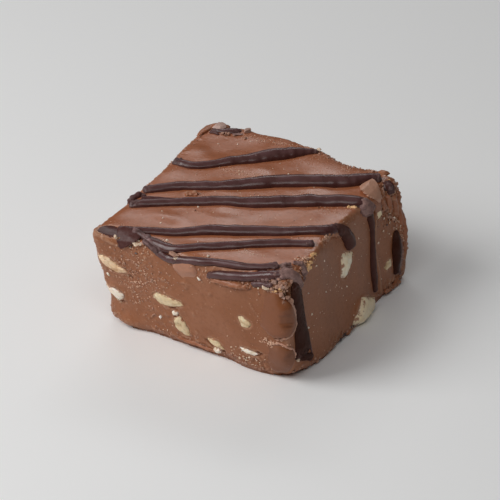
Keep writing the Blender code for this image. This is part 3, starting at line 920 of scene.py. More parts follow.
def add_rim_dab(block):
    outline = on_front(block.skin, (-3.9, 23.4), (-3, 25.2), (-1, 26), (0.8, 26), (2, 25.3), (2.7, 24),
                       (2.5, 22.3), (1.2, 20.9), (-0.8, 20.3), (-2.9, 21.5))
    patch(block, "rim_dab", outline, MILK_PINK, "milk_chocolate", 0.7, crown=7, seed=41, torn=0.1, rough=0.06,
          grain=1.6, lift=lambda points: ease(points[:, 2] - 0.25 * points[:, 0], 19.8, 23.6) * 1.35 - 0.35)


def add_corner_flap(block):
    """The flap that was pushed over the near corner, high at the corner and flush on its left."""
    over = [(23.6, -30.2, 23.6), (25.2, -29.7, 22.6), (26.2, -29, 20.8), (26.7, -28.6, 18.6),
            (27, -28.3, 16.6), (27, -28.6, 14.8), (26.2, -30, 13.4)]
    below = on_front(block.skin, (23.8, 12.4), (21.6, 12.8), (19, 14.6), (17.4, 16.6), (17, 18.6),
                     (19.4, 22.4), (22, 23.8))
    patch(block, "corner_flap", np.concatenate([over, below]), MILK, "milk_chocolate", 1, crown=14, seed=42,
          torn=0.07, smear=0.7, rough=0.04, grain=2.4,
          lift=lambda points: ease(points[:, 0] - 0.25 * points[:, 2], 12.5, 20.5) * 1.3 - 0.3)


def add_corner_foot(block):
    over = [(26.2, -29.8, 10), (26.7, -29, 8.4), (26.8, -28.7, 6), (26.6, -28.8, 4)]
    inner = on_front(block.skin, (25.2, 2.6), (24, 2), (21.8, 1.9), (20.2, 5.2), (20.6, 8.4), (22.7, 10.2),
                     (24.6, 10.8))
    patch(block, "corner_foot", np.concatenate([over, inner]), MILK, "milk_chocolate", 0.6, crown=10, seed=43,
          torn=0.12, smear=0.8, cut=0.4, rough=0.06, grain=1.8,
          lift=lambda points: ease(points[:, 0] - 0.2 * points[:, 2], 18, 23.5) * 1.3 - 0.3)


def add_stripe_pool(block):
    """The sunken pool of dark chocolate that the fourth stripe starts in."""
    pool = on_top(block.skin, (-23.8, -29.8), (-24.2, -28.2), (-23.6, -27), (-21.7, -26.4), (-19, -26.4),
                  (-17.4, -28.2), (-18.2, -30), (-20.1, -30.4), (-22, -30.3))
    block.sink_under(pool, 0.8, edge=0.9)
    patch(block, "stripe_pool", pool, DARK_SOFT, "dark_chocolate", -0.3, crown=2.4, seed=45, rough=0.03,
          grain=2.5)


def add_ridges(block):
    """Ridges and hollows of the skin itself: route, half width and depth, which is negative for a ridge."""
    pool_lip = [(-24.8, -27.2, 27), (-24.9, -28.8, 27), (-24, -30.4, 26.6), (-21.8, -30.9, 25.8),
                (-20.1, -30.8, 25.2), (-18.6, -30.6, 24.6)]
    knife_mark = on_front(block.skin, (16.4, 19.4), (18, 17.2), (20.4, 14.8), (21.6, 12.8))
    notch = on_front(block.skin, (24.6, 21.7), (25.2, 22.6), (25.3, 23.8))
    side_ridge = [(25.2, 16.6, 24), (25.8, 15, 21), (26.4, 13.6, 17.4), (27, 12.9, 13), (27.4, 13.6, 8),
                  (28.3, 13.9, 2.6)]
    side_swell = [(24, 7.8, 27), (25, 9.6, 25.6), (25.4, 11, 23.6)]
    for route, half, deep in ((pool_lip, 0.7, -0.45), (knife_mark, 0.35, -0.22), (notch, 1.1, 1.3),
                              (side_ridge, 0.8, -0.45), (side_swell, 1.2, -0.5)):
        block.groove(curve_through(route, 0.5), half, deep)


# ---- Piped stripes and other strands ----

# How far from a broken end the break has faded out, and how near to it the strand is fully broken
BREAK_REACH = (3.2, 0.8)
# The seed of the first stripe, and the step from one strand's seed to the next one's
PIPED_SEED = 60
SEED_STEP = 9

# Each stripe's route over the block, with half its width at even steps along it. A point of a route without a
# height is at the top.
STRIPES = {
    "stripe_far_corner": ([(-26.2, 28), (-24.4, 28.4), (-22.8, 28.8), (-20.8, 30), (-18.8, 30.9)],
        (0.7, 0.9, 0.9, 1.3, 1.2, 0.9)),
    "stripe_1": ([(-25.6, 8.2), (-22, 7.8), (-18.6, 9), (-12.6, 14.3), (-6.9, 20.1), (-1, 25.7),
        (3.4, 29.2)], (1.4, 1.4, 1.4, 1.75, 2.2, 2.3, 1.9, 0.7)),
    "stripe_2": ([(-24.6, -8.4), (-20.6, -5.1), (-17, -2.4), (-9, 1.7), (-2.6, 6.1), (3.2, 10.5),
        (9.1, 13.6), (15.2, 17.3), (18.8, 20.3), (20.8, 22.7), (22.8, 24.4)],
        (1.4, 1.6, 1.6, 1.75, 2.05, 2.3, 2.4, 2.3, 2.2, 1.4)),
    "stripe_3": ([(-23.6, -16.4), (-19.4, -13.5), (-11.6, -8.6), (-6.6, -5.9), (0.8, -2.9), (7.7, 1),
        (16.1, 6.3), (20.6, 9), (22.6, 9.9), (24.2, 10.7, 26.6), (25.1, 11.5, 24.8)],
        (1.3, 1.5, 1.5, 1.7, 1.8, 2, 2.15, 2.2, 2.2, 2.1, 1.8)),
    "stripe_4": ([(-20.4, -27), (-18.6, -26.6), (-13.6, -25), (-7.4, -22.6), (-1.6, -18.8), (4.8, -15.8),
        (15.2, -10.2), (21, -6.8), (23.4, -4.4), (24.5, -2.6, 26.8)],
        (1.1, 1.3, 1.4, 1.5, 1.7, 1.8, 1.7, 1.6, 1.5, 1.5)),
    "stripe_5": ([(-12.6, -27.9), (-10.8, -28.1), (-8.2, -28.7), (-5.6, -29), (-3.4, -28.7), (-1, -27.4),
        (2.2, -25.2), (7.6, -21.8), (11, -19.2), (16.2, -16.2), (23.6, -12.4)],
        (0.9, 1.35, 1.35, 1.2, 1.35, 1.4, 1.4, 1.4, 1.35, 1.1)),
    "stripe_6": ([(-9.2, -30.6, 26.2), (-7, -31, 25.4), (-4.6, -31, 24.7), (-1.4, -31, 25.3),
        (2.4, -30.8, 26.4), (7, -29.6), (12, -28.6), (16.6, -27.4), (19.4, -26.2), (21.2, -25.2)],
        (0.8, 1, 1, 0.9, 1, 1, 1.1)),
    "stripe_7": ([(5.2, -31, 23), (8, -31, 24.2), (12.4, -30.8, 25.2), (16.4, -30.2, 26), (19.8, -29.4),
        (22.4, -28.2), (23.6, -27.2)], (0.9, 1.1, 1.1, 1.1, 1.2, 1.3)),
    "stripe_8": ([(16.4, -31.2, 24.4), (19.4, -31, 25), (22.2, -30.8, 25.4)], (0.7, 0.8, 0.6)),
    "stripe_back_corner": ([(27.8, 22.4, 15.2), (28.5, 21.4, 9.4), (29, 21.8, 3.4)], (1.2, 2, 1.3)),
    "stripe_corner_chunk": ([(24.3, 23.7, 26.6), (25.5, 22.8, 24.8)], (1.2, 1.3, 1.2)),
}
# How broken each stripe's start and end are, from 0 to 1
ROUGH_ENDS = {
    "stripe_far_corner": (0.5, 0.4),
    "stripe_1": (1, 0.4),
    "stripe_2": (0.6, 0.7),
    "stripe_3": (0.8, 0.7),
    "stripe_4": (0.2, 0.5),
    "stripe_5": (1, 0.6),
    "stripe_6": (0.7, 0.8),
    "stripe_7": (0.3, 0.4),
    "stripe_8": (0.3, 0.6),
    "stripe_back_corner": (0.3, 0.2),
    "stripe_corner_chunk": (0.7, 0.7),
}


def laid_on(skin, route):
    """Points along a route brought onto the skin, and which way the skin faces there."""
    knots = [(*knot, TOP) if len(knot) == 2 else knot for knot in route]
    hits = [skin.find_nearest(Vector(p)) for p in curve_through(knots, SWEEP_STEP)]
    places = rolling_mean(np.array([hit[0] for hit in hits]), 2)
    outs = unit(rolling_mean(np.array([hit[1] for hit in hits]), 4))
    return places, outs


def widths_along(widths, lengths, ends):
    """Half the width at each place, closed to a round at both ends, or to a blunt break at a broken end."""
    total = lengths[-1]
    body = np.interp(lengths / total, np.linspace(0, 1, len(widths)), widths)
    body = rolling_mean(body[:, None], max(1, round(total / len(widths) / SWEEP_STEP / 3)))[:, 0]
    closing = np.ones_like(body)
    for away, rough in ((lengths, ends[0]), (total - lengths, ends[1])):
        share = np.clip(away / (0.9 * body * (1 - 0.65 * rough)), 0, 1)
        closing *= np.sqrt(np.clip(1 - (1 - share) ** 2, 0.04 + 0.3 * rough, 1))
    return body * closing


def rounds_about(middle, aside, upward, half, height):
    """Rounds of points about a line of middles, with a slight ridge along their top."""
    rounds = []
    for turn in TURNS:
        ridge = 0.86 * math.sin(turn) + 0.14 * math.sin(turn) ** 5
        rounds.append(middle + aside * (half * math.cos(turn))[:, None] + upward * (height * ridge)[:, None])
    return np.stack(rounds, 1).reshape(-1, 3)


def tube_faces(count):
    """The faces of a tube of this many rounds, closed at both ends."""
    faces = []
    for i in range(count - 1):
        a, b = i * ROUND_SIDES, (i + 1) * ROUND_SIDES
        for j in range(ROUND_SIDES):
            k = (j + 1) % ROUND_SIDES
            faces.append([a + j, a + k, b + k, b + j])
    faces.append(list(range(ROUND_SIDES))[::-1])
    faces.append([(count - 1) * ROUND_SIDES + j for j in range(ROUND_SIDES)])
    return faces


def strand(name, skin, route, widths, finish, slot, seed, ends, tall=(1.0,), lift=0.06, uneven=0.09,
           lumpy=0.08, rubbly=0.0, **values):
    """A strand of chocolate laid over the skin: ridged on top, with its own swells and broken ends."""
    places, outs = laid_on(skin, route)
    steps = np.linalg.norm(np.diff(places, axis=0), axis=1)
    lengths = np.concatenate([[0], np.cumsum(steps)])
    half = widths_along(widths, lengths, ends)
    ticks = np.stack([lengths, np.zeros_like(lengths), np.zeros_like(lengths)], 1)
    half = half * (1 + uneven * ripples(ticks, 4.5, seed) + 0.6 * uneven * ripples(ticks, 1.7, seed + 1))
    flatness = np.interp(lengths / lengths[-1], np.linspace(0, 1, len(tall)), tall)
    height = half * flatness * (1 + uneven * ripples(ticks, 3.1, seed + 2))
    onward = unit(np.gradient(places, axis=0))
    aside = unit(np.cross(onward, outs))
    upward = unit(np.cross(aside, onward))
    places = places + aside * (0.16 * ripples(ticks, 5.0, seed + 3))[:, None]
    middle = places + upward * (half * lift)[:, None]
    points = rounds_about(middle, aside, upward, half, height)
    spread = unit(points - np.repeat(middle, ROUND_SIDES, 0))
    first = np.repeat(lengths, ROUND_SIDES)
    last = lengths[-1] - first
    broken = np.maximum(ends[0] * ease(first, *BREAK_REACH), ends[1] * ease(last, *BREAK_REACH))
    broken = np.clip(broken + rubbly, 0, 1)
    ridge = np.clip((spread * np.repeat(upward, ROUND_SIDES, 0)).sum(1), 0, 1)
    around = np.tile(TURNS, len(lengths))
    flow = ripples(np.stack([first / 6, np.cos(around) * 1.5, np.sin(around) * 1.5], 1), 0.8, seed + 6)
    swells = lumpy * (ripples(points, 1.6, seed + 4) + 0.9 * flow)
    move = swells + broken * 0.5 * chunks(points, 1.2, seed + 5)
    points = points + spread * move[:, None]
    values = {"cut": 0.3, "smear": 0.0, "worn": np.clip(0.5 + move / 0.7, 0, 1), "ridge": ridge, **values}
    piece = make_piece(name, points, tube_faces(len(places)), finish, broken=broken, **values)
    return piece


# How tall a stripe stands for its width, at even steps along it, where it isn't the usual height
USUAL_HEIGHT = (0.86,)
FLATTENED = {
    "stripe_back_corner": (0.5, 0.6, 0.5),
    "stripe_4": (0.4, 0.8, 0.86, 0.86, 0.86, 0.86, 0.86),
    "stripe_far_corner": (0.6,),
}
# Stripes with a finish of their own
STRIPE_FINISHES = {"stripe_back_corner": DARK_RUN_PAINTED_SHADE}
# The runs down the right side that three stripes end in: route, half widths, height for the width, how broken
# the ends are, seed and finish
SIDE_RUNS = {
    "stripe_7": ([(25, -26.9, 25.2), (25.6, -26.6, 23.8), (26.1, -26.1, 20), (26.7, -25.7, 14),
        (26.9, -25.1, 9.4), (27.25, -25.4, 5)], (1.4, 2.2, 2.4, 2.6, 2.8, 3.1, 3.5),
        (0.5, 0.3, 0.22, 0.2, 0.2, 0.2), (0.5, 0.9), 50, DARK_RUN_PAINTED_SHADE),
    "stripe_3": ([(23.4, 10.2), (24.9, 11.4, 25.6), (25.9, 12.7, 21), (26.7, 12, 15), (27.4, 11.2, 9),
        (28.1, 11.8, 3.2)], (1.6, 1.5, 1, 0.9, 1.1, 1.3, 1.2, 0.8), (0.9, 0.8, 0.7, 0.7), (0.4, 0.3), 51,
        DARK_SIDE),
    "stripe_4": ([(23.8, -3.8), (24.9, -1.4, 26.2), (25.3, 0.6, 23.6), (25.8, 2, 19.6)],
        (1.5, 1.6, 1.8, 2, 1.8), (0.9, 0.8, 0.7), (0.5, 0.2), 52, DARK_SIDE),
}


def add_stripes(skin):
    for name, (route, widths, tall, ends, seed, finish) in SIDE_RUNS.items():
        run = strand(name + "_side_run", skin, route, widths, finish, "dark_chocolate", seed, ends, tall,
                     uneven=0.05)
        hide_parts(name)
    for number, (name, (route, widths)) in enumerate(STRIPES.items()):
        finish = STRIPE_FINISHES.get(name, DARK)
        seed = PIPED_SEED + SEED_STEP * number
        piece = strand(name + "_piped", skin, route, widths, finish, "dark_chocolate", seed, ROUGH_ENDS[name],
                       FLATTENED.get(name, USUAL_HEIGHT))
        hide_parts(name)


# Short strands beside the stripes: route, half widths and how broken the ends are
DARK_STRANDS = {
    "doubled_strand": ([(-22.6, -12.6), (-20.6, -11.8), (-17, -9.7), (-14.2, -8.4)], (1.1, 0.9, 0.7, 0.3),
        (0.5, 0)),
    "turned_end": ([(-24.2, -14.6), (-24.8, -12.6), (-23.8, -10.2), (-22.4, -10.6)], (0.9, 1, 0.9, 0.6),
        (0.9, 0.8)),
    "corner_leaf": ([(-26, 26.4), (-24.6, 27), (-22.8, 26.4)], (0.4, 0.6, 0.3), (0.3, 0.3)),
}
TORN_STRANDS = {
    "lump_tail": ([(-16.4, -26.8), (-14.2, -27.2), (-11.6, -28.1), (-8.6, -29.5, 26.8), (-6.6, -30.2, 26)],
        (1.1, 0.9, 0.7, 0.7, 0.5), (0.5, 0.4)),
    "hanging_strand": ([(-12.2, -28.6), (-10.4, -29.5, 26.6), (-8.6, -30.2, 26.2), (-6.9, -30.4, 25.6)],
        (0.5, 0.7, 0.8, 0.6), (0.6, 0.4)),
    "drip_foot": ([(27.1, -26.8, 5.6), (27.3, -24.4, 4.6), (27.5, -22.4, 3.8), (27.75, -20.4, 3)],
        (0.6, 0.9, 1, 0.7), (0.4, 0.4)),
    # A thin pale strand along the right edge of the drip paints a highlight line there
    "drip_edge_highlight": ([(25.6, -24.4, 23.4), (26.2, -23.8, 18.6), (26.7, -23.3, 13.6), (27.1, -22.4, 8.8),
        (27.6, -21, 3.8)], (0.2, 0.25, 0.28, 0.28, 0.2), (0.1, 0.1)),
}
BLOOMED_STRANDS = {
    "drip_shoulder": ([(21.6, -29.6, 26.2), (22.4, -28.2), (23.7, -26.9, 26.9), (25, -25.9, 25.9),
        (25.8, -25, 24.2), (26, -24.4, 22.2)], (0.9, 1.4, 1.5, 1.4, 1.1, 0.6), (0.9, 0.6)),
    "near_torn_curl": ([(22.8, -22.6), (24, -21.8), (25, -21.5, 26.4), (25.5, -21.8, 24.6),
        (25.7, -22.4, 23)], (0.5, 0.8, 0.8, 0.7, 0.4), (1, 0.9)),
    "side_shoulder": ([(22.4, 9.8), (23.9, 10.5, 26.9), (25.1, 11.3, 25.4), (25.7, 11.9, 23.2)],
        (0.6, 2.3, 2.3, 1), (0.6, 0.5)),
    "shoulder_crumb": ([(20.6, -25.6), (22, -24.4), (23.2, -23.4)], (0.6, 0.8, 0.7), (1, 1)),
    "dab_top": ([(17.2, -30.4, 25.2), (19.2, -30, 25.8), (21.4, -29.6, 26.4)], (0.5, 0.6, 0.5), (0.6, 0.6)),
    "back_edge_strip": ([(28.7, 23.8, 12.4), (29.1, 23.8, 7.6), (29.3, 23.5, 2.2)], (0.3, 0.5, 0.4),
        (0.3, 0.3)),
    "corner_sheen": ([(-20.8, 29), (-19.4, 29), (-17.8, 29.8)], (0.6, 0.7, 0.5), (0.2, 0.2)),
}
MILK_STRANDS = {
    "corner_finger_1": ([(25.4, 18.6, 25.2), (25.9, 19.2, 23.2), (26.3, 19.6, 21.2)], (0.9, 0.9, 0.5),
        (0.4, 0.4)),
    "corner_finger_2": ([(25.8, 21.2, 25), (26.4, 21.6, 22.6), (26.9, 21.8, 19.6)], (0.8, 0.9, 0.6),
        (0.4, 0.4)),
    "corner_finger_3": ([(26.4, 23.6, 24), (27, 24, 21), (27.7, 24.2, 17.8)], (0.9, 0.9, 0.6), (0.4, 0.4)),
    "corner_finger_4": ([(26.8, 25.8, 22.6), (27.6, 25.6, 18.4), (28.4, 24.9, 14)], (0.8, 0.9, 0.6),
        (0.5, 0.4)),
    "corner_rim": ([(26.6, 26.8, 24.6), (27.5, 26.6, 20.4), (28.2, 26.2, 15.6), (28.7, 25.6, 10.4),
        (29, 25, 6)], (0.5, 0.7, 0.8, 0.7, 0.5), (0.8, 0.8)),
    "corner_finger_5": ([(23, 28, 25.4), (23.6, 28.4, 21), (24.4, 28.4, 17)], (0.9, 0.9, 0.6), (0.6, 0.6)),
    "corner_finger_6": ([(19.6, 28.4, 25.6), (19.8, 28.8, 22.4)], (0.9, 0.8, 0.6), (0.9, 0.9)),
    "rim_scar": ([(5, -30.8, 22.8), (8, -31, 22.7), (12, -31, 23), (16.6, -31, 23.2)], (0.4, 0.7, 0.9, 0.6),
        (0.9, 0.9)),
    "rim_crest": ([(23.2, -6.6, 27.2), (24.2, -4.8, 26.8), (24.9, -3.2, 25.6), (25.3, -2.2, 23.8)],
        (0.6, 0.9, 0.9, 0.4), (0.6, 0.5)),
    "flap_lip": ([(25.2, -29.8, 22.8), (26.2, -28.9, 20.9), (26.7, -28.4, 18.7), (27, -28.1, 16.6),
        (27.1, -28.4, 14.8), (26.4, -30.1, 13.3), (24.9, -31.7, 12.4), (22.8, -31.8, 11.8)],
        (0.6, 0.75, 0.8, 0.8, 0.75, 0.6, 0.4, 0.3), (0.7, 0.5)),
    "foot_lip": ([(22.4, -31.2, 10.4), (24.4, -31.2, 11), (26, -30.3, 10.4), (26.9, -29, 8.6),
        (27.1, -28.6, 6.2)], (0.3, 0.4, 0.45, 0.4, 0.3), (0.5, 0.5)),
    "base_lip": ([(-8, -30, 0.5), (-3, -30.2, 0.4), (2, -30.2, 0.4), (7, -30.2, 0.4)], (0.3, 0.5, 0.6, 0.3),
        (0.9, 0.9)),
    "side_base_lip": ([(28.8, 18, 0.8), (29, 21, 0.8), (28.8, 24, 1.2)], (0.5, 0.7, 0.5), (0.6, 0.6)),
    "far_rim": ([(-27.6, 23.6), (-27.6, 26.6), (-27, 29.6), (-25, 31), (-22.6, 31.4)],
        (0.5, 1.1, 1.4, 1.6, 1.2), (0.3, 0.5)),
    "raised_ridge": ([(-14.6, -5.6), (-13, -4.4), (-11.4, -4.2)], (0.4, 0.7, 0.4), (0.5, 0.5)),
}
# What each kind of strand shares: its table, its first seed, its slot and its choices
STRAND_KINDS = (
    (DARK_STRANDS, 200, "dark_chocolate", {"finish": DARK_SOFT, "uneven": 0.12, "lumpy": 0.1}),
    (TORN_STRANDS, 240, "dark_chocolate",
     {"finish": TORN, "tall": (1.15,), "lift": 0.25, "uneven": 0.2, "lumpy": 0.1, "rubbly": 0.1}),
    (BLOOMED_STRANDS, 260, "dark_chocolate",
     {"finish": BLOOMED, "uneven": 0.15, "lumpy": 0.12, "rubbly": 0.5}),
    (MILK_STRANDS, 300, "milk_chocolate",
     {"finish": MILK, "uneven": 0.15, "lumpy": 0.14, "rubbly": 0.4, "smear": 0.1}),
)
# Strands that differ from their kind
STRAND_CHOICES = {
    "drip_foot": {"finish": DARK_RUN_PAINTED_SHADE, "tall": (0.4,), "lift": 0.06},
    "corner_sheen": {"tall": (0.35,)},
    "side_shoulder": {"tall": (0.98,)},
    "flap_lip": {"finish": MILK_BLOOM},
    "foot_lip": {"finish": MILK_BLOOM},
    "far_rim": {"tall": (0.6,), "rubbly": 0.12},
    **{f"corner_finger_{number}": {"rubbly": 0.12} for number in range(1, 7)},
}


def add_strands(skin):
    for table, first_seed, slot, shared in STRAND_KINDS:
        for number, (name, (route, widths, ends)) in enumerate(table.items()):
            choices = {**shared, **STRAND_CHOICES.get(name, {})}
            seed = first_seed + SEED_STEP * number
            strand(name, skin, route, widths, slot=slot, seed=seed, ends=ends, **choices)


# ---- Crumbs ----

def lump_shape(level):
    """The points and faces of a round lump, which each crumb then breaks up in its own way."""
    bm = bmesh.new()
    bmesh.ops.create_icosphere(bm, subdivisions=level, radius=1)
    points = np.array([vert.co for vert in bm.verts])
    faces = [[vert.index for vert in face.verts] for face in bm.faces]
    bm.free()
    return points, faces


def snapped(points, pick, breaks, shallow, deep):
    """A lump cut by flat breaks, each of them this far out from its middle."""
    for _ in range(breaks):
        way = unit(np.array([pick.gauss(0, 1) for _ in range(3)]))
        over = np.maximum(points @ way - pick.uniform(deep, shallow), 0)
        points = points - over[:, None] * way * 0.97
    return points / np.abs(points).max(0)


# Broken pieces of up to a few millimetres: middle, length, width and height, turn and tilt, finish and slot
SHARDS = {
    "tan_crumb": ((-3.3, -30.2, 26.2), (2.9, 1.6, 1.7), (5, 20), CRUMB_MILK, "milk_chocolate"),
    "tan_crumb_bit": ((-2.3, -30.6, 25.6), (1.4, 1, 1.1), (35, 20), CRUMB_PALE, "nut"),
    "lump_crumb": ((-13.3, -30.1, 26.1), (1.7, 1, 1), (30, 0), CRUMB_PALE, "nut"),
    "lump_crumb_bit": ((-12.2, -30, 26.6), (1.1, 0.9, 0.8), (60, 0), CRUMB_PALE, "nut"),
    "lump_side_crumb": ((-18.7, -30.2, 26.6), (1, 1.2, 1.9), (10, 20), CRUMB_PALE, "nut"),
    "far_corner_lump": ((-24.6, 29.8, 27.5), (3.8, 2.6, 1.5), (20, 10), CRUMB_BLOOM, "milk_chocolate"),
    "far_rim_crumb": ((-17.6, 31.2, 27.2), (2.2, 1.8, 1.6), (70, 10), CRUMB_PINK, "nut"),
    "rim_orange_bit": ((22.2, 7.4, 27.1), (1.2, 1, 0.9), (10, 10), CRUMB_GOLD, "nut"),
    "rim_orange_chunk": ((23.3, 8.2, 27.1), (2, 1.8, 1.4), (40, 0), CRUMB_GOLD, "nut"),
    "cream_chunk": ((20.4, -30.6, 24.2), (2, 1.3, 1.9), (10, 25), CRUMB_PALE, "nut"),
    "yellow_chunk": ((25.4, -19.6, 25.3), (1.2, 2.6, 2.2), (0, 10), CRUMB_GOLD, "nut"),
    "corner_chunk_1": ((22.4, -30, 26), (1.7, 1.3, 1.3), (60, 10), CRUMB_PINK, "milk_chocolate"),
    "corner_chunk_2": ((24, -29.8, 25.2), (1.5, 1.2, 1.4), (20, 30), CRUMB_PINK, "milk_chocolate"),
    "corner_chunk_3": ((24.7, -30.1, 22.6), (0.9, 0.7, 0.8), (0, 10), CRUMB_PINK, "milk_chocolate"),
    "notch_crumb_1": ((24.3, -30.3, 23.3), (1.3, 0.8, 1.6), (20, 10), CRUMB_MILK, "milk_chocolate"),
    "notch_crumb_2": ((25.4, -29.6, 22.5), (1, 0.8, 1.5), (50, 20), CRUMB_MILK, "milk_chocolate"),
    "notch_crumb_3": ((24.8, -30.4, 21.6), (0.9, 0.6, 1), (80, 0), CRUMB_MILK, "milk_chocolate"),
    "drip_foot_crumb": ((27.1, -27.6, 5.6), (1.3, 1.1, 0.9), (0, 10), CRUMB_PALE, "nut"),
    "stripe_end_crumb": ((3.2, 29.9, 27.5), (1.6, 1.1, 1), (20, 0), CRUMB_PALE, "nut"),
    "rim_chunk_1": ((25, -16.4, 26.9), (1.2, 2.2, 1), (0, 0), CRUMB_GOLD, "milk_chocolate"),
    "back_mass_1": ((21.2, 27.4, 26.2), (4.4, 3.4, 1.6), (30, 5), MILK, "milk_chocolate"),
    "back_mass_2": ((24.2, 26.6, 25), (3, 3.6, 1.8), (20, 10), MILK, "milk_chocolate"),
    "foot_mass_1": ((28.4, 22.6, 1.9), (2, 4, 2.6), (0, 0), MILK, "milk_chocolate"),
    "foot_mass_2": ((28.6, 17, 1.2), (1.8, 3.4, 1.9), (0, 0), MILK, "milk_chocolate"),
    "foot_mass_3": ((28.4, -4.2, 0.9), (1.6, 3.6, 1.6), (0, 0), MILK, "milk_chocolate"),
}


# Larger lumps with few flat faces: their corners, finish and slot
HEWN = {
    "torn_lump": ([(-19.6, -28.2, 27.9), (-17.9, -27.2, 28.3), (-12.8, -28, 27.7), (-13.4, -29.8, 26.6),
        (-17.1, -31, 24.1), (-18.6, -30.4, 26), (-18.4, -26.4, 27.2), (-13.4, -26.9, 27),
        (-16.4, -28, 24.6)], DARK_SOFT, "dark_chocolate"),
    "box_chunk": ([(23.8, 22.6, 27.2), (24.5, 24.8, 27), (26.2, 24.2, 26.3), (25.5, 21.9, 26.5),
        (24.2, 22.5, 24.8), (24.9, 24.6, 24.6), (26.6, 24.1, 24.1), (25.9, 21.7, 24.3)], DARK_SOFT,
        "dark_chocolate"),
    "side_slab": ([(20, 17.6, 27.4), (20.2, 20.6, 27.4), (22, 21.4, 28.4), (24, 20.2, 27.4),
        (25.9, 18.4, 25.2), (25.4, 15.8, 26), (23.8, 14, 27.2), (21.8, 14.6, 28.1), (22.8, 18, 24.6),
        (25.8, 17.4, 24.2)], MILK_BLOOM, "milk_chocolate"),
    "side_slab_low": ([(22.9, 15.2, 27.4), (25.5, 18.6, 25.4), (26.2, 17.8, 22), (25.9, 14.8, 22.6),
        (24.8, 14.2, 26.2), (23, 17, 23)], MILK, "milk_chocolate"),
}


# How crisp the edges of a hewn lump are
HEWN_EDGE = 60


def hewn_out(corners, ball):
    """A fine closed skin over the flat faces between some corners, with its edges a little worn."""
    bm = bmesh.new()
    for corner in corners:
        bm.verts.new(corner)
    bmesh.ops.convex_hull(bm, input=bm.verts)
    bm.normal_update()
    middle = np.mean(corners, axis=0)
    ways = np.array([face.normal for face in bm.faces])
    away = np.array([face.normal.dot(face.verts[0].co) for face in bm.faces]) - ways @ middle
    bm.free()
    reach = np.maximum(unit(ball) @ ways.T, 0) / np.maximum(away, 0.05)
    return unit(ball) / (reach ** HEWN_EDGE).sum(1)[:, None] ** (1 / HEWN_EDGE) + middle


def add_hewn_lumps():
    ball, faces = lump_shape(SHARD_DETAIL)
    for seed, (name, (corners, finish, slot)) in enumerate(HEWN.items()):
        points = hewn_out(corners, ball)
        bumps = 0.04 * ripples(points, 0.8, 760 + seed) + 0.04 * chunks(points, 1.1, 780 + seed)
        points = points + unit(points - points.mean(0)) * bumps[:, None]
        worn = np.clip(0.5 + bumps / 0.6, 0, 1)
        piece = make_piece(name, points, faces, finish, SHARP_LUMP, tone=worn, worn=worn, broken=0.25,
                           cut=0.5, smear=0.1, ridge=0.1)


def add_shards():
    """Lumps with flat breaks all over them."""
    ball, faces = lump_shape(SHARD_DETAIL)
    for seed, (name, (middle, size, (turn, tilt), finish, slot)) in enumerate(SHARDS.items()):
        pick = random.Random(700 + seed)
        points = snapped(ball, pick, SHARD_BREAKS, 0.75, 0.4) * size / 2
        bumps = 0.07 * ripples(points, 0.7, 700 + seed) + 0.09 * chunks(points, 0.9, 720 + seed)
        points = points + unit(points) * bumps[:, None]
        stand = Matrix.Rotation(math.radians(turn), 3, "Z") @ Matrix.Rotation(math.radians(tilt), 3, "X")
        points = points @ np.array(stand).T + np.array(middle)
        worn = np.clip(0.55 + bumps / 0.5, 0, 1)
        piece = make_piece(name, points, faces, finish, SHARP_LUMP, tone=worn, worn=worn, broken=0.4,
                           cut=0.5, smear=0.1, ridge=0.2)


# How much of a crumb's height is sunk in the skin
CRUMB_SUNK = 0.35


def crumb_on(skin, ball, middle, reach, small, large, flat, pick):
    """The points of one crumb that lies on the skin somewhere near a middle."""
    guess = Vector([m + r * pick.gauss(0, 0.45) for m, r in zip(middle, reach)])
    place, out, _, _ = skin.find_nearest(guess)
    size = mix(small, large, pick.random() ** 2)
    length, width, height = pick.uniform(0.7, 1.3), pick.uniform(0.6, 1.1), pick.uniform(0.7, 1.2)
    stretch = np.array([length, width, flat * height])
    shape = snapped(ball, pick, CRUMB_BREAKS, 0.8, 0.3) * stretch * size / 2
    spin = Matrix.Rotation(pick.uniform(0, 2 * math.pi), 3, "Z")
    lean = Matrix.Rotation(pick.uniform(-0.5, 0.5), 3, "X")
    stand = out.to_track_quat("Z", "Y").to_matrix()
    return shape @ np.array(stand @ spin @ lean).T + np.array(place + out * size * flat * (0.5 - CRUMB_SUNK))


def scatter(name, skin, zones, finish, seed, level=2, flat=0.7):
    """One joined mesh of crumbs. Each zone is its middle, reach, how many, smallest and largest size."""
    pick = random.Random(seed)
    ball, ball_faces = lump_shape(level)
    points = []
    faces = []
    tones = []
    for middle, reach, many, small, large in zones:
        for _ in range(many):
            faces += [[corner + len(points) * len(ball) for corner in face] for face in ball_faces]
            points.append(crumb_on(skin, ball, middle, reach, small, large, flat, pick))
            tones.append(np.full(len(ball), pick.random()))
    piece = make_piece(name, np.concatenate(points), faces, finish, SHARP_CRUMB, tone=np.concatenate(tones))


# Zones of pale nut crumbs, all over and thicker where the block broke
PALE_SPECKS = [
    ((0, 0, 14), (40, 42, 18), 170, 0.14, 0.4), ((0, 0, 27), (34, 38, 1), 150, 0.14, 0.38),
    ((-14, -30, 14), (14, 1, 14), 90, 0.14, 0.42), ((27, -4, 14), (1, 34, 16), 70, 0.16, 0.42),
    ((-14, -28, 27), (4, 3, 1), 8, 0.3, 0.6), ((21.5, -30.5, 25), (4, 1, 2.5), 26, 0.25, 0.6),
    ((17.5, -27, 28), (3, 1, 1), 6, 0.3, 0.6), ((16, -30, 4), (10, 2, 3), 40, 0.2, 0.6),
    ((-21, -27, 7.6), (1.5, 1, 1), 6, 0.3, 0.7), ((27.5, 22, 18), (2, 4, 6), 26, 0.25, 0.6),
    ((28, 22, 12), (1, 4, 3), 10, 0.3, 0.7), ((25, -1, 26), (1, 3, 1), 14, 0.2, 0.5),
    ((9, -22.5, 27), (10, 2.5, 1), 60, 0.14, 0.32)
]
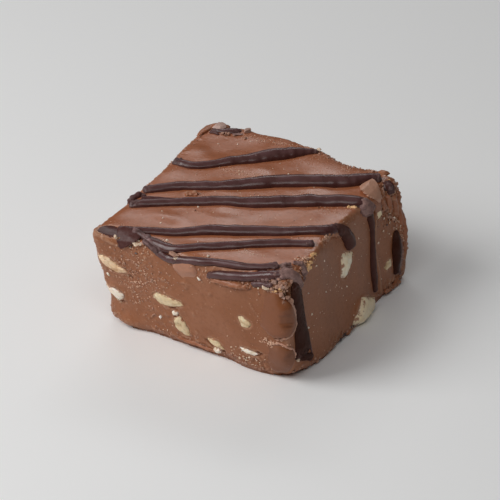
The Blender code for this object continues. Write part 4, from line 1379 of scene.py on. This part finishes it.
# Zones of fine milk chocolate dust, mostly on the top and on the left part of the front
DUST = [
    ((-8, 10.6, 27), (8, 2.2, 1), 240, 0.12, 0.3), ((6.5, -29, 26.8), (5, 1.6, 1), 90, 0.12, 0.3),
    ((18.5, 4, 27), (5, 3, 1), 110, 0.12, 0.28), ((-18, -24.7, 27), (6, 1.6, 1), 70, 0.12, 0.28),
    ((2, 25, 27), (10, 5, 1), 110, 0.12, 0.3), ((-10, 29.5, 26.8), (12, 2, 1), 160, 0.15, 0.45),
    ((14, 24, 27), (8, 5, 1), 120, 0.12, 0.35), ((-14, -30, 16), (9, 1, 8), 230, 0.2, 0.62),
    ((-14, -30, 24), (9, 1, 3), 90, 0.2, 0.6), ((8, -30.5, 23), (9, 1, 2), 110, 0.15, 0.5),
    ((20, -30.5, 14), (6, 1, 8), 60, 0.12, 0.35), ((22, -31, 10.4), (4.5, 0.8, 1.2), 80, 0.25, 0.7),
    ((24.8, -30, 22.6), (1, 1, 1.8), 40, 0.3, 0.8), ((24.4, -6.5, 27), (1.4, 4, 1), 60, 0.25, 0.7),
    ((22.4, 7.8, 27), (2, 1.4, 1), 24, 0.25, 0.6), ((24.4, -19.6, 27), (1.6, 2.5, 1), 50, 0.3, 0.8),
    ((27.6, 25, 15), (1, 2, 8), 60, 0.25, 0.8)
]
# Crumbs that lie on their own, on the top and on the right side: place and size
LONE_CRUMBS = [
    (27.2, 24.4, 20.6, 0.9), (28.2, 25.8, 16.4, 0.9), (27.8, 24.8, 15.2, 0.6), (-20.8, 22, 27, 0.5),
    (-16.6, 24.3, 27, 0.5), (-14.4, 27, 27, 0.4), (-9.3, 15.8, 27, 0.4), (2.4, 15.1, 27, 0.6),
    (6.2, -1.9, 27, 0.5), (9.2, 13.6, 27, 0.4), (-15, -15.5, 27, 0.5), (-13.3, -18.1, 27, 0.5),
    (-12.8, -20, 27, 0.4), (-8.7, -9.4, 27, 0.45), (-7.2, -26.6, 27, 0.7), (4.5, -28.3, 27, 0.8),
    (-8, -26.8, 27, 0.5), (26.4, 18.5, 19.9, 0.6), (26.7, 14.7, 15.1, 0.5), (26.2, 13.4, 17.1, 0.5),
    (27.5, 22.8, 18.2, 0.8), (25.4, -11.6, 23, 0.45), (27, -2.5, 12, 0.5), (26.6, -12.7, 15.7, 0.4),
    (25.6, 5.8, 20.4, 0.5), (26.8, 17.3, 17, 0.6), (26.1, -20.8, 19.3, 0.45), (26.7, -20.1, 13.6, 0.6),
    (26.8, -22, 11.2, 0.5), (25.6, -16.1, 24, 0.6)
]
# Zones of milk chocolate crumbs, along the rims, the foot and the rough parts of the front
MILK_CRUMBS = [
    ((22, -29.5, 25.5), (5, 3, 3), 70, 0.4, 1.2), ((25.4, -22, 26), (1.5, 6, 1.4), 40, 0.35, 1),
    ((25, -5, 26.8), (1, 7, 0.8), 40, 0.3, 0.8), ((12, -30.8, 24), (8, 1, 1.8), 50, 0.3, 0.8),
    ((26.5, 22, 22), (3, 6, 6), 110, 0.4, 1.2), ((28.5, 24, 8), (2, 3, 8), 50, 0.4, 1.1),
    ((12, 28.6, 26.6), (18, 2, 1.6), 90, 0.35, 1), ((19, 28.6, 26.6), (3, 1, 1), 24, 0.5, 1.3),
    ((-24, 29, 26.6), (5, 3, 1.5), 40, 0.4, 1.2), ((4, -29.6, 2), (26, 2, 2), 110, 0.3, 0.8),
    ((29, 0, 1), (2, 32, 2), 90, 0.3, 0.9), ((-26, 0, 2), (2, 32, 3), 70, 0.3, 0.9),
    ((0, 30, 2), (30, 2, 3), 70, 0.3, 0.9), ((-10, -29, 18), (7, 2, 5), 70, 0.3, 0.7),
    ((-18, -29, 20), (5, 2, 4), 40, 0.3, 0.7), ((-14, -28, 9), (9, 2, 6), 60, 0.25, 0.6),
    ((-26.5, 4, 26.6), (1, 26, 1), 50, 0.25, 0.7)
]
# Zones of dark crumbs, beside the broken ends of stripes
DARK_CRUMBS = [
    ((-16, -30, 25), (3, 1.5, 2), 14, 0.3, 0.8), ((24, -26, 26.5), (3, 3, 1), 12, 0.3, 0.7),
    ((0, 0, 27), (30, 34, 1), 18, 0.2, 0.45), ((27, 20, 22), (2, 5, 5), 14, 0.3, 0.8),
    ((28.4, -7, 1), (0.8, 5, 1.2), 16, 0.5, 1.2)
]
# Zones of toasted nut crumbs, at the right rim and the near corner
GOLD_CRUMBS = [
    ((25.2, -19.6, 25.6), (0.8, 1.8, 1.2), 14, 0.5, 1.3), ((25, -16, 26.4), (0.6, 3, 0.8), 14, 0.35, 0.8),
    ((25.5, 24, 24), (2, 3, 4), 14, 0.4, 1.2), ((22.5, -30.4, 23.5), (3, 1, 2), 12, 0.3, 0.9)
]


def add_crumbs(skin):
    alone = [(place, (0, 0, 0), 1, size, size) for *place, size in LONE_CRUMBS]
    scatter("pale_crumbs", skin, PALE_SPECKS, CRUMB_PALE, 901)
    scatter("lone_crumbs", skin, alone, CRUMB_WHITE, 905, flat=0.9)
    scatter("milk_dust", skin, DUST, CRUMB_DUST, 906, level=1)
    scatter("milk_crumbs", skin, MILK_CRUMBS, CRUMB_MILK, 902)
    scatter("dark_crumbs", skin, DARK_CRUMBS, CRUMB_DARK, 903)
    scatter("toasted_crumbs", skin, GOLD_CRUMBS, CRUMB_GOLD, 904)


# ---- Floor, light and camera ----

# The floor's half width in metres, and its colour
FLOOR_HALF = 3.0
FLOOR_COLOUR = (0.93, 0.93, 0.925)


def add_floor():
    mesh = bpy.data.meshes.new("floor")
    corners = [(x * FLOOR_HALF, y * FLOOR_HALF, 0) for x, y in ((-1, -1), (1, -1), (1, 1), (-1, 1))]
    mesh.from_pydata(corners, [], [[0, 1, 2, 3]])
    floor = bpy.data.objects.new("floor", mesh)
    bpy.context.scene.collection.objects.link(floor)
    paper = bpy.data.materials.new("floor_paper")
    paper.use_nodes = True
    shader = paper.node_tree.nodes["Principled BSDF"]
    shader.inputs["Base Color"].default_value = (*FLOOR_COLOUR, 1)
    shader.inputs["Roughness"].default_value = 0.9
    mesh.materials.append(paper)


# The lamps: which way each stands from the block, its width and height, and its light on a sheet facing it
LAMP_DISTANCE = 0.7
LAMPS = {
    "key_softbox": ((-0.57, -0.53, 0.63), (0.4, 0.4), 0.65),
    "overhead_softbox": ((0.02, 0.10, 0.99), (0.7, 0.4), 0.04),
    "front_strip": ((0.22, -0.57, 0.79), (0.55, 0.20), 0.22),
    "back_strip": ((-0.37, 0.69, 0.62), (0.5, 0.13), 0.15),
}
ROOM_LIGHT = 0.050


def add_lights():
    """A soft key from the front left, softer lamps overhead and behind, a strip in front, and a pale room."""
    for name, (way, size, strength) in LAMPS.items():
        light = bpy.data.lights.new(name, "AREA")
        light.shape = "RECTANGLE"
        light.size, light.size_y = size
        light.energy = strength * math.pi ** 2 * LAMP_DISTANCE ** 2
        lamp = bpy.data.objects.new(name, light)
        bpy.context.scene.collection.objects.link(lamp)
        toward = Vector(way).normalized()
        lamp.location = VIEW_TARGET + toward * LAMP_DISTANCE
        lamp.rotation_euler = toward.to_track_quat("Z", "Y").to_euler()
    world = bpy.data.worlds.new("room")
    bpy.context.scene.world = world
    world.use_nodes = True
    backdrop = world.node_tree.nodes["Background"]
    backdrop.inputs["Color"].default_value = (1, 1, 1, 1)
    backdrop.inputs["Strength"].default_value = ROOM_LIGHT


def add_camera():
    azimuth, elevation = math.radians(VIEW_AZIMUTH), math.radians(VIEW_ELEVATION)
    back = Vector((math.sin(azimuth) * math.cos(elevation), -math.cos(azimuth) * math.cos(elevation),
                   math.sin(elevation)))
    camera = bpy.data.objects.new("camera", bpy.data.cameras.new("camera"))
    bpy.context.scene.collection.objects.link(camera)
    camera.data.lens = LENS
    camera.data.sensor_width = 36
    camera.data.clip_start = 0.01
    camera.location = VIEW_TARGET + back * VIEW_DISTANCE
    camera.rotation_euler = back.to_track_quat("Z", "Y").to_euler()
    bpy.context.scene.camera = camera
    bpy.context.scene.view_settings.view_transform = "Standard"


def build():
    block = Block()
    block.roughen()
    add_nuts(block)
    add_rim_dab(block)
    add_corner_flap(block)
    add_corner_foot(block)
    add_stripe_pool(block)
    add_ridges(block)
    block.finish()
    add_stripes(block.skin)
    add_strands(block.skin)
    add_hewn_lumps()
    add_shards()
    add_crumbs(block.skin)
    add_floor()
    add_lights()
    add_camera()


build()
